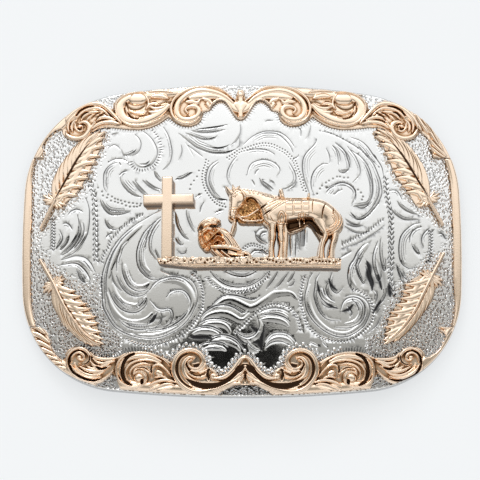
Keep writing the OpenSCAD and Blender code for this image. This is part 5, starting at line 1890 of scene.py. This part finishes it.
dx, dy, dz = sep.outputs
STOPS = [(-1.0, 0.95), (-0.5, 0.95), (-0.32, 0.80), (-0.18, 0.46), (-0.08, 0.32), (0.02, 0.37), (0.08, 0.49), (0.14, 0.65),
         (0.21, 0.88), (0.28, 1.04), (0.34, 1.02), (0.42, 1.16), (0.60, 1.60), (1.0, 1.30)]
cr = t.nodes.new("ShaderNodeValToRGB")
cr.color_ramp.interpolation = "LINEAR"
while len(cr.color_ramp.elements) < len(STOPS):
    cr.color_ramp.elements.new(0.5)
for e, (at, v) in zip(cr.color_ramp.elements, STOPS):
    e.position = (at + 1) / 2
    e.color = (v / 2, v / 2, v / 2, 1)
t.links.new(wmath("MULTIPLY_ADD", dy, 0.5, 0.5), cr.inputs["Fac"])
level = wmath("MULTIPLY", cr.outputs["Color"], 2.0)
side_fall = wstep(wmath("ABSOLUTE", dx), 0.45, 0.95, 1.0, 0.90)
level = wmath("MULTIPLY", level, side_fall)
low_ring = wstep(dz, 0.20, 0.52, 0.18, 1.0)
level = wmath("MULTIPLY", level, low_ring)
ex = wmath("DIVIDE", wmath("ADD", dx, 0.03), 0.22)
ey = wmath("DIVIDE", wmath("SUBTRACT", dy, 0.005), 0.09)
blob = wmath("ADD", wmath("MULTIPLY", ex, ex), wmath("MULTIPLY", ey, ey))
patch = wstep(blob, 0.44, 0.84, 0.03, 1.0)
level = wmath("MULTIPLY", level, patch)
hue = t.nodes.new("ShaderNodeValToRGB")
TINTS = [(-1.0, (1.0, 0.99, 0.97)), (-0.2, (1.0, 0.985, 0.94)), (0.03, (1.0, 0.975, 0.895)), (0.14, (1.0, 0.985, 0.93)),
         (0.27, (1.0, 1.0, 0.985)), (1.0, (0.99, 1.0, 1.0))]
while len(hue.color_ramp.elements) < len(TINTS):
    hue.color_ramp.elements.new(0.5)
for e, (at, v) in zip(hue.color_ramp.elements, TINTS):
    e.position = (at + 1) / 2
    e.color = (*v, 1)
t.links.new(wmath("MULTIPLY_ADD", dy, 0.5, 0.5), hue.inputs["Fac"])
t.links.new(hue.outputs["Color"], bg.inputs["Color"])
t.links.new(level, bg.inputs["Strength"])

for name, at, size, watts, glossy in (("softbox_top", (0.0, 0.25, 1.3), 1.7, 2.6, False),
                                      ("front_fill", (0.0, -1.3, 0.7), 1.2, 3.0, False),
                                      ("softbox_back", (-0.35, 1.35, 0.95), 0.5, 4.0, True)):
    light = bpy.data.lights.new(name, "AREA")
    light.shape = "SQUARE"
    light.size = size
    light.energy = watts
    lamp = bpy.data.objects.new(name, light)
    lamp.location = at
    lamp.rotation_mode = "QUATERNION"
    lamp.rotation_quaternion = (-Vector(at)).to_track_quat("-Z", "Y")
    lamp.visible_glossy = glossy
    scene.collection.objects.link(lamp)

# ---------------------------------------------------------------- camera
cam = bpy.data.cameras.new("camera")
cam.sensor_width = 36
cam.sensor_fit = "HORIZONTAL"
cam.lens = CAM_F / 480 * 36
cam.shift_x = -(CAM_X - 240) / 480
cam.shift_y = (CAM_Y - 240) / 480
cam.clip_start, cam.clip_end = 0.01, 10
cob = bpy.data.objects.new("camera", cam)
cob.matrix_world = Matrix((
    (1, 0, 0, CAM[0] / 1000),
    (0, UP[1], BACK[1], CAM[1] / 1000),
    (0, UP[2], BACK[2], CAM[2] / 1000),
    (0, 0, 0, 1)))
scene.collection.objects.link(cob)
scene.camera = cob
scene.view_settings.view_transform = "Standard"
scene.view_settings.look = "None"

print("TRIANGLES", made, sum(v[0] for v in made.values()))
